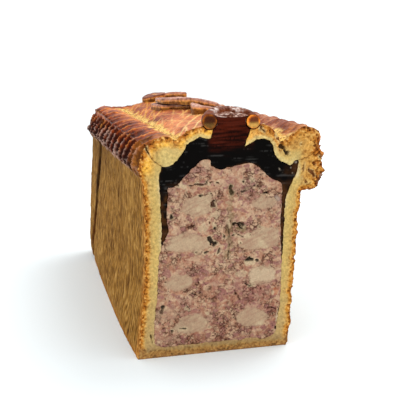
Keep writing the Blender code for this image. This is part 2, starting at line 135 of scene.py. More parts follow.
def fractal(points, size, seed, octaves=3):
    """Waves of ever smaller size and strength, from about -1 to 1."""
    total = sum(wave(points, np.asarray(size, float) / 2 ** k, seed + k) / 2 ** k for k in range(octaves))
    return total / (2 - 0.5 ** (octaves - 1)) * 1.5


def lumps(points, size, seed):
    """Scattered cells: distance to the nearest middle, to the next one, and a number of the nearest."""
    scaled = points / np.asarray(size, float)
    base = np.floor(scaled).astype(np.int64)
    first = np.full(points.shape[:-1], 9.0)
    second = first.copy()
    number = np.zeros_like(first)
    for step in np.ndindex(3, 3, 3):
        cell = base + np.array(step) - 1
        spot = cell + np.stack([lattice(cell, seed + axis) for axis in range(3)], axis=-1)
        away = np.linalg.norm(scaled - spot, axis=-1)
        nearer = away < first
        second = np.where(nearer, first, np.minimum(second, away))
        number = np.where(nearer, lattice(cell, seed + 3), number)
        first = np.where(nearer, away, first)
    return first, second, number


def smooth(value):
    """0 to 1 with soft ends, held outside that range."""
    value = np.clip(value, 0.0, 1.0)
    return value * value * (3.0 - 2.0 * value)


def flat(points, y=0.0):
    """(x, z) points as (x, y, z)."""
    return np.stack([points[..., 0], np.full(points.shape[:-1], y), points[..., 1]], axis=-1)


# ---- outlines

def unit(vectors, least=1e-9):
    """Vectors of length 1."""
    return vectors / np.maximum(np.linalg.norm(vectors, axis=-1, keepdims=True), least)


def steps(points):
    """Length of each step along a line of points, and how far along it each point lies."""
    lengths = np.linalg.norm(np.diff(points, axis=0), axis=1)
    return lengths, np.concatenate([[0.0], np.cumsum(lengths)])


def spread(points, count):
    """So many points, evenly spread along a smooth line through the given ones."""
    chords, place = steps(points)
    if len(points) > 2:
        slopes = np.gradient(points, place, axis=0)
    else:
        slopes = np.repeat([(points[1] - points[0]) / chords[0]], 2, axis=0)
    at = np.linspace(0.0, place[-1], count)
    k = np.clip(np.searchsorted(place, at, side="right") - 1, 0, len(chords) - 1)
    long = chords[k][:, None]
    t = ((at - place[k]) / chords[k])[:, None]
    return ((2 * t ** 3 - 3 * t ** 2 + 1) * points[k] + (t ** 3 - 2 * t ** 2 + t) * long * slopes[k]
            + (3 * t ** 2 - 2 * t ** 3) * points[k + 1] + (t ** 3 - t ** 2) * long * slopes[k + 1])


def both_sides(profile, spacing):
    """The course through a profile, with points `spacing` apart on its longer side."""
    sides = [np.array(side, float) for side in profile]
    count = max(int(round(max(steps(side)[0].sum() for side in sides) / spacing)) + 1, 2)
    return [spread(side, count) for side in sides]


WANDER = 0.36             # hand-made outlines inside the cut face stray by about this much


def wander(points):
    """Small strays of an outline, the same for all pieces that share it."""
    place = flat(points)
    return points + WANDER * (waves(place, 4.0, 31, 32) + 0.8 * waves(place, 1.1, 33, 34))


def inside(points, outline):
    """Which points lie inside a closed outline."""
    found = np.zeros(len(points), bool)
    x, z = points[:, 0], points[:, 1]
    for (x1, z1), (x2, z2) in zip(outline, np.roll(outline, -1, axis=0)):
        if z1 != z2:
            crosses = (z1 > z) != (z2 > z)
            found ^= crosses & (x < x1 + (z - z1) * (x2 - x1) / (z2 - z1))
    return found


def nearest(points, targets):
    """Distance from each point to the nearest target, and which target that is."""
    tree = KDTree(len(targets))
    width = targets.shape[1]
    for k, target in enumerate(targets):
        tree.insert(tuple(target) + (0.0,) * (3 - width), k)
    tree.balance()
    found = [tree.find(tuple(point) + (0.0,) * (3 - width)) for point in points]
    return np.array([hit[2] for hit in found]), np.array([hit[1] for hit in found])


# ---- meshes

class Sheet:
    """Points and faces, with a colour and a wetness at each point."""

    def __init__(self, points, faces, tint, wet=0.0):
        self.points = np.asarray(points, float).reshape(-1, 3)
        self.faces = [np.asarray(group, np.int64) for group in faces if len(group)]
        self.tint = np.broadcast_to(tint, np.shape(points)).reshape(-1, 3)
        self.wet = np.broadcast_to(wet, len(self.points))


def grid(points, tint, wet=0.0, flip=False):
    """A sheet from a (rows, columns, 3) array."""
    number = np.arange(points[..., 0].size).reshape(points.shape[:2])
    quads = np.stack([number[:-1, :-1], number[1:, :-1], number[1:, 1:], number[:-1, 1:]], axis=-1)
    quads = quads.reshape(-1, 4)
    return Sheet(points, [quads[:, ::-1] if flip else quads], tint, wet)


def normals(points):
    """Unit normals of a (rows, columns, 3) array."""
    return unit(np.cross(np.gradient(points, axis=1), np.gradient(points, axis=0)))


def join(*sheets):
    """One sheet of several, welded where their points coincide."""
    points, tint, wet = (np.concatenate([getattr(sheet, part) for sheet in sheets])
                         for part in ("points", "tint", "wet"))
    _, first, number = np.unique(np.round(points / WELD).astype(np.int64), axis=0,
                                 return_index=True, return_inverse=True)
    number = number.ravel()
    faces, start = [], 0
    for sheet in sheets:
        for group in sheet.faces:
            moved = number[group + start]
            same = moved == np.roll(moved, 1, axis=1)
            faces.append(moved[same.sum(axis=1) == 0])
            if group.shape[1] == 4:              # a quad with one short side turns into a triangle
                short = moved[same.sum(axis=1) == 1]
                gap = np.argmax(short == np.roll(short, 1, axis=1), axis=1)
                keep = np.ones(short.shape, bool)
                keep[np.arange(len(short)), gap] = False
                faces.append(short[keep].reshape(-1, 3))
        start += len(sheet.points)
    return Sheet(points[first], faces, tint[first], wet[first])


def add_object(name, data):
    """A new object in the scene."""
    thing = bpy.data.objects.new(name, data)
    bpy.context.scene.collection.objects.link(thing)
    return thing


def make_piece(name, sheet, node, slot):
    """A mesh object that stands for a CAD node."""
    mesh = bpy.data.meshes.new(name)
    mesh.vertices.add(len(sheet.points))
    places = np.clip(sheet.points * MM + ORIGIN, *np.array(cad_box))
    mesh.vertices.foreach_set("co", places.astype(np.float32).ravel())
    corners = np.concatenate([group.ravel() for group in sheet.faces])
    sizes = np.concatenate([np.full(len(group), group.shape[1]) for group in sheet.faces])
    mesh.loops.add(len(corners))
    mesh.loops.foreach_set("vertex_index", corners.astype(np.int32))
    mesh.polygons.add(len(sizes))
    mesh.polygons.foreach_set("loop_start", (np.cumsum(sizes) - sizes).astype(np.int32))
    tint = mesh.attributes.new("tint", "FLOAT_COLOR", "POINT")
    colours = np.append(sheet.tint * LIGHT, np.ones((len(sheet.points), 1)), axis=1)
    tint.data.foreach_set("color", np.clip(colours, 0, 1).astype(np.float32).ravel())
    wet = mesh.attributes.new("wet", "FLOAT", "POINT")
    wet.data.foreach_set("value", sheet.wet.astype(np.float32))
    mesh.update(calc_edges=True)
    mesh.validate()
    mesh.shade_smooth()
    mesh.set_sharp_from_angle(angle=SHARP)
    mesh.materials.append(MATERIALS[slot])
    piece = add_object(name, mesh)
    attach(piece, "root")
    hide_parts(node)


def cap(outline, spacing, relief, holes=(), wet=0.0):
    """A dense front face: relief(points) gives how far each point lies behind the cut, and its colour.
    The outlines are (x, z) rows; their own points keep their place, so that skins can be welded on."""
    rings = [np.asarray(ring, float) for ring in (outline, *holes)]

    def covered(spots):
        return inside(spots, rings[0]) & ~np.any([inside(spots, ring) for ring in rings[1:]], axis=0)

    low, high = rings[0].min(axis=0), rings[0].max(axis=0)
    x, z = np.meshgrid(np.arange(low[0], high[0], spacing), np.arange(low[1], high[1], spacing * 0.87))
    x[1::2] += spacing / 2
    spots = np.stack([x.ravel(), z.ravel()], axis=-1)
    spots = spots + waves(flat(spots), spacing * 0.7, 51, 52) * spacing * 0.3
    spots = spots[covered(spots)]
    points = np.concatenate(rings)
    spots = spots[nearest(spots, points)[0] > spacing * 0.45]
    edges, start = [], 0
    for ring in rings:
        edges += [(start + k, start + (k + 1) % len(ring)) for k in range(len(ring))]
        start += len(ring)
    points = [Vector(point) for point in np.concatenate([points, spots])]
    points, _, faces, *_ = delaunay_2d_cdt(points, edges, [], 1, 1e-6, False)
    points = np.array([tuple(point) for point in points])
    faces = np.array([face for face in faces if len(face) == 3])
    faces = faces[covered(points[faces].mean(axis=1))]
    a, b, c = (points[faces[:, k]] for k in range(3))
    wrong = (b[:, 0] - a[:, 0]) * (c[:, 1] - a[:, 1]) - (b[:, 1] - a[:, 1]) * (c[:, 0] - a[:, 0]) < 0
    faces[wrong] = faces[wrong][:, ::-1]            # counter-clockwise in (x, z) looks along -Y
    back, tint = relief(points)
    return Sheet(np.stack([points[:, 0], back, points[:, 1]], axis=-1), [faces], tint, wet)


# ---- the way round the loaf

def overhang(points, side):
    """How far (x, z) points lie outside the leaning wall on the left, side -1, or the right, side 1."""
    return side * (points[..., 0] - LEAN * points[..., 1]) - HALF_WIDTH


def risen(height):
    """The share of the rise towards the far end that a height takes part in."""
    return smooth((height - RISE_LOW) / (RISE_HIGH - RISE_LOW))


def sweep(course, turn, drift=0.0):
    """Places (points, turns, 3) of a course carried round the loaf."""
    west, east = (side[:, None, :] for side in course)
    turn = np.broadcast_to(turn, (len(west), np.shape(turn)[-1]))
    height = west[..., 1] + (east[..., 1] - west[..., 1]) * smooth((turn - 1) / 3)
    along = np.minimum(np.minimum(turn, 5 - turn), 1)
    swell = 1 + BULGE * np.sin(np.pi * np.minimum(height / BULGE_TOP, 1)) * along
    foot = FOOT_BULGE * np.sin(np.pi * along ** 0.8) * smooth(1 - height / FOOT_HEIGHT)
    out_west, out_east = overhang(west, -1), overhang(east, 1)
    x_west = -(HALF_WIDTH + out_west) * swell + drift * np.minimum(turn, 1) - foot
    x_east = (HALF_WIDTH + out_east) * swell + foot
    out = (out_west + out_east) / 2
    far = LENGTH + out
    deep = np.clip(CORNER + out, INNER_CORNER, LENGTH)
    wide_west, wide_east = (np.minimum(np.maximum(CORNER + side, INNER_CORNER), (x_east - x_west) / 2)
                            for side in (out_west, out_east))
    first = (np.clip(turn, 1, 2) - 1) * np.pi / 2
    last = (4 - np.clip(turn, 3, 4)) * np.pi / 2
    parts = [turn <= 1, turn <= 2, turn <= 3, turn <= 4]
    start, end = x_west + wide_west, x_east - wide_east
    x = np.select(parts, [x_west, start - wide_west * np.cos(first), start + (end - start) * (turn - 2),
                          end + wide_east * np.cos(last)], x_east)
    y = np.select(parts, [turn * (far - deep), far - deep * (1 - np.sin(first)), far + 0 * turn,
                          far - deep * (1 - np.sin(last))], (5 - turn) * (far - deep))
    x = x + LEAN * height
    rise = (RISE + RISE_SKEW * x) * risen(height) * y / LENGTH
    shoulder = smooth((height - FAR_LOW) / (FAR_HIGH - FAR_LOW)) * smooth(y / 150 - 0.4)
    rise = rise + FAR_LIFT * shoulder * smooth((-16 - x) / 12)
    x = x + FAR_SHIFT * shoulder * smooth((-32 - x) / 4)
    return np.stack([x, y, height + rise], axis=-1)


def side_length(course):
    """How long the straight side of each row is."""
    out = (overhang(course[0], -1) + overhang(course[1], 1)) / 2
    return LENGTH + out - np.clip(CORNER + out, INNER_CORNER, LENGTH)


def lap_turns(course):
    """How many turns from the cut face the end piece's edge crosses each row: left, right."""
    return [(LAP_FOOT - LAP_SLOPE * side[:, 1]) / (1 + LAP_SLOPE * RISE * risen(side[:, 1]) / LENGTH)
            / side_length(course) for side in course]


# Turns: many where the outside shows, few where it doesn't
SIDE = np.linspace(0.0, 1.0, 214) ** 1.1
CORNER_PART = np.linspace(0.0, 1.0, 27)[1:]
END_PART = np.linspace(0.0, 1.0, 66)[1:]
FAR_ROUND = np.concatenate([1 + CORNER_PART, 2 + END_PART, 3 + CORNER_PART])
ALL_ROUND = np.concatenate([SIDE, FAR_ROUND, 5 - SIDE[::-1][1:]])
FEW_SIDE = np.array([0.0, 0.004, 0.03, 0.2, 0.4, 0.6, 0.8, 1.0])
FEW_FAR = np.array([1.33, 1.67, 2.0, 2.5, 3.0, 3.33, 3.67, 4.0])
FEW_ROUND = np.concatenate([FEW_SIDE, FEW_FAR, 5 - FEW_SIDE[::-1][1:]])


def side_turns(lap, columns, side):
    """Turns of each row between the cut face and the end piece, on the left (-1) or the right (1)."""
    return lap[:, None] * columns if side < 0 else 5 - lap[:, None] * columns[::-1]


def end_turns(laps, count, around):
    """Turns of each row of the end piece, round the far end from lap to lap."""
    part = np.linspace(0.0, 1.0, count)
    first = laps[0][:, None] + (1 - laps[0][:, None]) * part
    last = 4 + (5 - laps[1][:, None] - 4) * part
    return np.concatenate([first, np.broadcast_to(around[:-1], (len(first), len(around) - 1)), last], axis=1)


# ---- profiles: (left points, right points)

WALL = ([(-37.5, 0), (-37.0, 6), (-36.4, 14), (-34.7, 28), (-33.6, 42), (-33.2, 60), (-33.4, 76),
         (-34.0, 84.5)],
        [(37.5, 0), (38.6, 6), (39.5, 14), (40.0, 28), (40.6, 40), (41.8, 55), (42.6, 70), (43.7, 77.0)])
RIM = ([(-34.0, 84.5), (-36.2, 87.2), (-38.4, 90.2), (-38.5, 93.8), (-37.3, 97.8), (-35.4, 100.8),
        (-33, 102.6)],
       [(43.7, 77.0), (48.2, 76.6), (53.2, 77.0), (55.0, 82.0), (56.2, 88.5), (56.6, 94.4), (53.0, 99.3)])
SEAM = ([(-33, 102.6), (-32.2, 100.5), (-29.5, 95.2), (-24.8, 91.3)],
        [(53.0, 99.3), (50.5, 96.5), (46, 93.7), (41.4, 92.2)])
INNER_HIGH = ([(-24.8, 91.3), (-25.8, 87), (-26, 80), (-25.4, 70), (-25, 61), (-25.6, 53.5)],
              [(41.4, 92.2), (41.2, 88.5), (39.3, 83.5), (35.8, 75), (34.8, 62), (34.0, 43)])
INNER_LOW = ([(-25.6, 53.5), (-26.8, 46), (-27.7, 30), (-28.6, 20), (-29.2, 10), (-28.6, 6.5), (-26.5, 5.3),
              (-18, 5.0), (0.3, 4.9)],
             [(34.0, 43), (33.7, 34), (33.4, 24), (32.6, 17), (31.8, 11), (31.0, 7.2), (28.0, 5.3),
              (18, 5.1), (0.3, 4.9)])
BORDER = ([(-33, 102.6), (-30.5, 103.7), (-27, 104.7), (-24.5, 105.1), (-22, 105.2), (-20, 104.9),
           (-18.2, 104.0)],
          [(53.0, 99.3), (53.9, 101.0), (53.8, 102.8), (53.0, 104.8), (51, 107.2), (48, 108.9), (44, 109.2),
           (38, 105.8), (32.4, 102.4)])
PANEL = ([(-18.2, 104.0), (-16.5, 105), (-15, 106), (-12, 107.8), (-9, 108.6), (-5.5, 109.5), (0, 110.6),
          (7.8, 111.4)],
         [(32.4, 102.4), (31, 104.4), (28.5, 107.3), (26.5, 108.7), (24.5, 109.6), (21.5, 110.1), (16, 110.9),
          (7.8, 111.4)])
UNDERSIDE = ([(-24.8, 91.3), (-21, 91.3), (-18, 93.2), (-15.5, 96.4), (-14, 99), (-13, 101), (-10, 102.6),
              (-7, 104), (-3, 103.6), (-1.7, 104.0)],
             [(41.4, 92.2), (39.5, 91.8), (38.6, 90.7), (37.7, 90.2), (35, 91), (32.3, 92.3), (30.5, 94),
              (29.3, 96.8), (28.4, 99.5), (26.8, 101.8), (23.6, 103),
              (20.5, 102.5), (17.7, 101), (14.6, 99.4)])
HOLE_SIDE = ([(-1.7, 104.0), (-1.4, 106), (-1.1, 107.8)],
             [(14.6, 99.4), (15.2, 101.8), (16.8, 106.2), (17.3, 107.8)])
MEAT_TOP = ([(7.3, 90), (3.2, 89), (0, 90), (-1.5, 91), (-1.8, 93.5), (-4.5, 94), (-7.3, 93), (-9, 91),
             (-11, 89.5), (-13, 87.5), (-15, 85), (-16.8, 83.2), (-20, 81.5), (-22.3, 81.4)],
            [(7.3, 90), (11, 90.6), (15.5, 91.4), (20, 90.8), (22.7, 88.6), (25.5, 85.5), (29, 83.6),
             (32.3, 82.3), (33.4, 81.4)])
MEAT_SIDE = ([(-22.3, 81.4), (-22.3, 75.5), (-22.7, 70), (-22.7, 64.5), (-22.3, 61), (-23.6, 57.3),
              (-25.6, 53.5)],
             [(33.4, 81.4), (33.5, 75.5), (33.4, 69), (33.1, 61), (33.2, 52), (34.0, 43)])

EDGE = 0.42               # between the points of an outline on the cut face
WALL_STEP, RIM_STEP, SEAM_STEP = 0.85, 0.6, 0.7


def chain(*parts):
    """The course through profiles. Each has the spacing of the cut face and strays, unless it comes
    with its own spacing and says whether it strays."""
    sides = [], []
    for part in parts:
        profile, spacing, strays = part if len(part) == 3 else (part, EDGE, True)
        for side, points in zip(sides, both_sides(profile, spacing)):
            points = wander(points) if strays else points
            side.append(points[1:] if side else points)
    return [np.concatenate(side) for side in sides]


def turned(profile):
    """The same profile, from its last point to its first."""
    return profile[0][::-1], profile[1][::-1]


# ---- colours

def tone(red, green, blue):
    """A colour as it looks on a screen, from 0 to 255, as the shader takes it."""
    share = np.array([red, green, blue]) / 255.0
    return np.where(share <= 0.04045, share / 12.92, ((share + 0.055) / 1.055) ** 2.4)


def mix(first, second, amount):
    """Colours between two, for each point."""
    return first + (np.asarray(second) - first) * np.clip(amount, 0.0, 1.0)[..., None]


def ramp(value, stops):
    """Colour at each value, from (value, colour) stops."""
    places = [place for place, _ in stops]
    return np.stack([np.interp(value, places, [colour[k] for _, colour in stops]) for k in range(3)], axis=-1)


BAKED = tone(152, 106, 42)
BAKED_GOLD = tone(196, 150, 80)
BAKED_DARK = tone(84, 48, 10)
BAKED_ORANGE = tone(196, 120, 44)
CRUST_SPOT = tone(98, 50, 16)
RIM_DARK = tone(40, 10, 4)
RIM_BROWN = tone(134, 74, 42)
RIM_GOLD = tone(232, 152, 76)
# RIM_LILAC is the lilac of the painted highlight on the rim's ridges; it is also laid along the rim's lower
# lip.
RIM_LILAC = tone(200, 164, 148)
LID_BROWN = tone(132, 54, 18)
LID_RED = tone(234, 144, 86)
LID_GOLD = tone(255, 216, 142)
JELLY = tone(7, 5, 4)
JELLY_BROWN = tone(80, 46, 18)
JELLY_RED = tone(70, 20, 6)
MEAT = tone(180, 132, 104)
MEAT_CREAM = tone(206, 172, 140)
MEAT_RED = tone(152, 96, 78)
MEAT_LINE = tone(72, 34, 20)
PALE = tone(188, 158, 128)
PALE_PINK = tone(176, 140, 114)
CRUST_SHADES = [(0.0, RIM_BROWN), (0.5, BAKED_ORANGE), (1.0, RIM_GOLD)]


# ---- outside of the dough

SIDE_CRIMPS, CORNER_CRIMPS, BACK_CRIMPS = 13, 2, 4
CRIMP_SPREAD = 1.15
CRIMP_DEPTH = 3.4
CRIMP_SLANT = 0.9         # crimps that a ridge leans over the height of the border
CRIMP_FOOT, CRIMP_TOP = 86.5, 104.0


def crimp_number(turn):
    """How many crimps lie between the cut face and a turn."""
    half = np.minimum(turn, 5 - turn)
    side = SIDE_CRIMPS * np.maximum(half, 0) ** (1 / CRIMP_SPREAD)
    corner = SIDE_CRIMPS + (half - 1) * CORNER_CRIMPS
    back = SIDE_CRIMPS + CORNER_CRIMPS + (half - 2) * BACK_CRIMPS
    count = np.select([half <= 1, half <= 2], [side, corner], back)
    every = 2 * (SIDE_CRIMPS + CORNER_CRIMPS) + BACK_CRIMPS
    return np.where(turn > 2.5, every - count, count)


def crimps(points, turn):
    """Scoops between sharp ridges: 0 on a ridge to 1 in a scoop, and which scoop it is."""
    height = points[..., 2] - RISE * points[..., 1] / LENGTH
    lean = CRIMP_SLANT * (height - CRIMP_FOOT) / (CRIMP_TOP - CRIMP_FOOT)
    lean = np.where(turn > 2.5, -lean, lean)
    number = crimp_number(turn) + lean + 0.22 * wave(points, 13.0, 41) + 0.07 * wave(points, 3.0, 40)
    scoop = np.sin(np.pi * (number % 1.0)) ** 0.6
    cell = np.stack([np.floor(number)] * 3, axis=-1).astype(np.int64)
    return scoop, 0.75 + 0.4 * lattice(cell, 42)


RIPPLE_PITCH = 4.3


def striation(points):
    """Fine upright ripples left by the mould, -1 to 1, wavy like the lines of a fingerprint."""
    along = points[..., 1] - np.abs(points[..., 0] - LEAN * points[..., 2])
    bend = 1.5 * wave(points, (16.0, 16.0, 18.0), 61) + 0.5 * wave(points, (6.0, 6.0, 7.0), 62)
    ripple = np.sin(2 * np.pi * (along / RIPPLE_PITCH + bend))
    return 0.6 * ripple * (0.7 + 0.5 * wave(points, 7.0, 64)) + 0.5 * wave(points, (1.8, 1.8, 3.5), 68)


def outside_relief(points):
    """Soft unevenness of the baked outside."""
    return 0.3 * fractal(points, 9.0, 43) + 0.2 * fractal(points, 1.8, 44) - 0.35


def rim_tint(points, scoop, up, weight):
    """The pinched border: dark red-brown scoops darkened further by painted shade in their middles, thin
    ridges with a painted highlight that is lilac low down and gold higher up, and patches of painted sheen on
    top.
    """
    blotch, grain = fractal(points, 14.0, 65), fractal(points, 1.5, 66)
    crumb = fractal(points, 2.4, 46)
    patch = wave(points + 3 * wave(points, 12.0, 95)[..., None], (9.0, 5.0, 9.0), 96)
    # Painted shade: the middle of each scoop is darkened, less so higher up the border.
    deep = smooth(weight * 3) * smooth(scoop * 2.4 - 0.55)
    far = 0.3 * up * smooth(points[..., 1] / 150)
    hollow = ramp(0.34 + 0.44 * up + far - 0.6 * deep * (1 - 0.6 * up) + 0.2 * blotch + 0.3 * grain
                  + 0.6 * up * patch * (1 - 0.7 * deep),
                  [(0.0, RIM_DARK), (0.35, tone(82, 28, 10)), (0.75, tone(156, 66, 22)),
                   (1.2, tone(226, 134, 50))])
    # Painted highlight along the ridges: lilac low down, gold higher up.
    crest = mix(RIM_LILAC, RIM_GOLD, smooth(up * 1.7 - 0.4 + 0.8 * wave(points, 6.0, 78)))
    thin = smooth(1.0 - scoop * (2.5 + 0.8 * up) + 0.55 * crumb) * smooth(weight * 5)
    tint = mix(hollow, crest, thin * (1 - 0.35 * up))
    lip = smooth(1 - up * 12) * smooth(0.3 + 1.5 * crumb)
    tint = mix(tint, RIM_LILAC, lip * 0.45)
    # Painted sheen: mauve patches on the upper part of the border.
    sheen = smooth(2.2 * wave(points, (5.0, 9.0, 5.0), 97) - 0.8) * smooth(up * 2 - 0.8)
    return mix(tint, tone(180, 108, 86), sheen * 0.6)


def wall_tint(points, scoop, weight):
    """Colours of the baked outside: golden tan walls with fine dark ripples, a dark pinched rim with painted
    shade in its scoops and painted highlights on its ridges.
    """
    x, y, z = points[..., 0], points[..., 1], points[..., 2]
    blotch = fractal(points, 22.0, 65)
    grain = fractal(points, 1.5, 66)
    spots, _, number = lumps(points, 1.2, 69)
    shade = 0.46 + 0.14 * blotch + 0.2 * grain + 0.62 * striation(points)
    tint = ramp(shade, [(0.0, BAKED_DARK), (0.5, BAKED), (1.0, BAKED_GOLD)])
    tint = mix(tint, BAKED_DARK * 0.8, 0.4 * smooth((z - 50) / 36) * smooth(y / 170))
    low = smooth(1 - z / 5) * (0.6 + 0.5 * grain)
    tint = mix(tint, BAKED_ORANGE, 0.5 * low)
    front = smooth(1.15 - (y + 3 * wave(points, 5.0, 70)) / 7)
    tint = mix(tint, BAKED_ORANGE, front * (0.5 + 0.3 * grain))
    tint = mix(tint, CRUST_SPOT * 0.7, front * smooth(1.25 - spots * 2.0) * smooth((number - 0.4) * 5) * 0.85)
    tint = mix(tint, tone(250, 190, 100), front * smooth(grain * 2.5 - 0.5) * 0.6)
    foot = np.where(x > 0, 80.5, 87)
    up = smooth((z - RISE * y / LENGTH - foot) / (113 - foot))
    tint = mix(tint, rim_tint(points, scoop, up, weight), smooth(weight * 1.6))
    near = smooth(1 - y / 24) * (0.6 + 0.5 * wave(points, 6.0, 67))
    crust = ramp(0.5 + 0.5 * grain + 0.3 * blotch, CRUST_SHADES)
    return mix(tint, crust, near * 0.8 * smooth(weight * 2))


SEAM_ROWS = len(both_sides(SEAM, SEAM_STEP)[0]) - 1
JOINT_ROWS = 6            # rows over which the two skins turn to a shared direction at their joint
JOINT_OUT, JOINT_UP = 0.72, 0.69


def outward(points, shown, joint):
    """Directions out of the dough for the rows that show; the others lie in the seam and stay put.
    Along the joint of rim and border, row `joint`, both skins use one shared direction."""
    own = -normals(points[shown])
    level = unit(own[joint] * (1.0, 1.0, 0.0), 1e-6)
    share = smooth(1 - np.abs(np.arange(len(own)) - joint % len(own)) / JOINT_ROWS)[:, None, None]
    own = own + (JOINT_OUT * level + (0.0, 0.0, JOINT_UP) - own) * share
    way = np.zeros_like(points)
    way[shown] = unit(own, 1e-6)
    return way


def settled(points, turn):
    """Points with the edge of the skin on the cut face and nothing below the foot."""
    points[..., 1] = np.where((turn <= 0) | (turn >= 5), 0.0, np.maximum(points[..., 1], 0.0))
    points[..., 2] = np.maximum(points[..., 2], 0.0)
    return points


def weights_along(course, *stops):
    """Weights along a course, from (x, z, weight) at points on its left side, in their order."""
    left = course[0]
    place = steps(left)[1]
    at = [place[np.argmin(np.hypot(left[:, 0] - x, left[:, 1] - z))] for x, z, _ in stops]
    return np.interp(place, at, [weight for *_, weight in stops])[:, None]


# ---- crust: outside

FLOOR_COLUMNS = 14
STRAIGHT = 209.0          # about the length of a straight side
RAGGED = 2.2              # how far behind the cut face its torn edge reaches
WALL_CHAIN = chain((WALL, WALL_STEP, False), (RIM, RIM_STEP, False), (SEAM, SEAM_STEP, True))
WALL_RELIEF = weights_along(WALL_CHAIN, (-37.5, 0, 0.6), (-37.0, 6, 1), (-33, 102.6, 1), (-32.2, 100.5, 0))
WALL_CRIMPS = weights_along(WALL_CHAIN, (-33.4, 76, 0), (-34.0, 84.5, 0.05), (-36.2, 87.2, 0.5),
                            (-38.4, 90.2, 0.95), (-37.3, 97.8, 1), (-35.4, 100.8, 0.85),
                            (-33, 102.6, 0.72), (-32.2, 100.5, 0))


def outer_skin(turn, lip, dent, reach):
    """The outside of the walls with its relief: points and colours. `lip` is how far each point is
    from the joint with the end piece, where it bends in by `dent` over about `reach`."""
    points = sweep(WALL_CHAIN, turn, OUTER_DRIFT * WALL_RELIEF)
    outside = outward(points, slice(None, -SEAM_ROWS), -1)
    scoop, uneven = crimps(points, turn)
    ripple = striation(points) * np.clip(WALL_RELIEF - WALL_CRIMPS, 0, 1)
    behind = np.minimum(turn, 5 - turn) * STRAIGHT
    ragged = np.where(turn > 2.5, 1.4, 0.9) * np.exp(-behind / RAGGED)
    free = smooth(np.abs(np.arange(len(points)) - (len(points) - 1 - SEAM_ROWS)) / JOINT_ROWS)[:, None]
    rough = outside_relief(points) + 0.12 * ripple * free
    rough = rough + ragged * (0.5 * fractal(points, 2.6, 47) + 0.4 * fractal(points, 1.1, 48)) * free
    rough = rough + 0.45 * WALL_CRIMPS * fractal(points, 1.3, 49) * free
    push = WALL_RELIEF * rough - WALL_CRIMPS * uneven * scoop * CRIMP_DEPTH
    push -= dent * np.exp(-lip / reach) * WALL_RELIEF
    # Along the joint with the end piece the colour turns to a dark burnt edge with painted shade in the
    # joint, darker higher up.
    wide = 2.6 + 0.7 * reach + 1.6 * wave(points, 5.0, 98) + 0.8 * fractal(points, 1.5, 66)
    dark = smooth(1.5 - lip / np.maximum(wide, 0.5))
    joint_burn_and_shade = mix(CRUST_SPOT * 0.8, CRUST_SPOT * 0.16, smooth(points[..., 2] / 40 - 0.4))
    tint = wall_tint(points, scoop * np.minimum(WALL_CRIMPS * 2, 1), WALL_CRIMPS)
    tint = mix(tint, joint_burn_and_shade, dark * (0.9 + 0.3 * wave(points, 9.0, 96)))
    return settled(points + outside * push[..., None], turn), tint


def floor_points(edge, far=LENGTH):
    """The flat underside: from the bottom edge of a skin to a middle line that ends at `far`."""
    middle = edge.copy()
    middle[:, 0] = 0.0
    middle[:, 1] = np.minimum(edge[:, 1], far)
    return middle + (edge - middle) * np.linspace(0.0, 1.0, FLOOR_COLUMNS)[:, None, None]


def case_side(side):
    """One long wall of the case: points and colours."""
    lap = lap_turns(WALL_CHAIN)[0 if side < 0 else 1]
    turn = side_turns(lap, SIDE, side)
    lip = (lap[:, None] - np.minimum(turn, 5 - turn)) * side_length(WALL_CHAIN)[:, None]
    return outer_skin(turn, lip, dent=2.2, reach=4.5)


def end_laps(course):
    """Where the end piece starts, a gap behind the case."""
    return [lap + LAP_GAP / side_length(course) for lap in lap_turns(course)]


def end_wall():
    """The outside of the end piece: points and colours."""
    laps = end_laps(WALL_CHAIN)
    turn = end_turns(laps, 40, FAR_ROUND)
    start = np.where(turn < 2.5, laps[0][:, None], laps[1][:, None])
    lip = np.maximum(np.minimum(turn, 5 - turn) - start, 0) * side_length(WALL_CHAIN)[:, None]
    return outer_skin(turn, lip, dent=2.6, reach=0.8)


# ---- lid: outside

BORDER_CHAIN = chain((turned(SEAM), SEAM_STEP, True), (BORDER, RIM_STEP, False), (PANEL, RIM_STEP, False))
for border_side, profile_side in zip(BORDER_CHAIN, BORDER):
    border_side[SEAM_ROWS] = profile_side[0]      # the joint itself doesn't stray
LID_RELIEF = weights_along(BORDER_CHAIN, (-32.2, 100.5, 0), (-33, 102.6, 1), (7.8, 111.4, 1))
LID_CRIMPS = weights_along(BORDER_CHAIN, (-32.2, 100.5, 0), (-33, 102.6, 0.72), (-30.5, 103.7, 0.56),
                           (-27, 104.7, 0.3), (-22, 105.2, 0.1), (-18.2, 104.0, 0))
GROOVE = weights_along(BORDER_CHAIN, (-23.5, 105.2, 0), (-20, 104.9, 0.5), (-18.2, 104.0, 1),
                       (-16.5, 105, 0.55), (-13, 107.2, 0))
BORDER_UP = weights_along(BORDER_CHAIN, (-33, 102.6, 0.648), (-27, 104.7, 0.85), (-20, 104.9, 1))
PANEL_SHARE = weights_along(BORDER_CHAIN, (-20, 104.9, 0), (-16.5, 105, 1), (7.8, 111.4, 1))
LID_DRIFT = [-33, -27, -23, -19.5, -15, -9, -2, 7.8], [OUTER_DRIFT, 0, 2, 4, 5, 4, 1, 0]

# Slant, distance, width, length of a bend, seed and strength of each set of lines
SCORES = (0.46, 7.0, 0.6, 16.0, 71, 1.0), (0.2, 5.5, 0.45, 11.0, 77, 0.85), (-0.3, 12.0, 0.5, 14.0, 79, 0.65)


def scored(points):
    """Lines cut into the lid at three slants: 1 on a line."""
    x, y = points[..., 0], points[..., 1]
    total = 0.0
    for slant, pitch, width, bend, seed, strength in SCORES:
        across = (y * slant - x) / pitch + 0.3 * wave(points, (bend, 4 * bend, bend), seed)
        part = np.abs(across % 1.0 - 0.5) * pitch
        broken = smooth(0.75 + 1.7 * wave(points, (7.0, 26.0, 7.0), seed + 100))
        total = np.maximum(total, strength * broken * np.exp(-(part / width) ** 2))
    return total


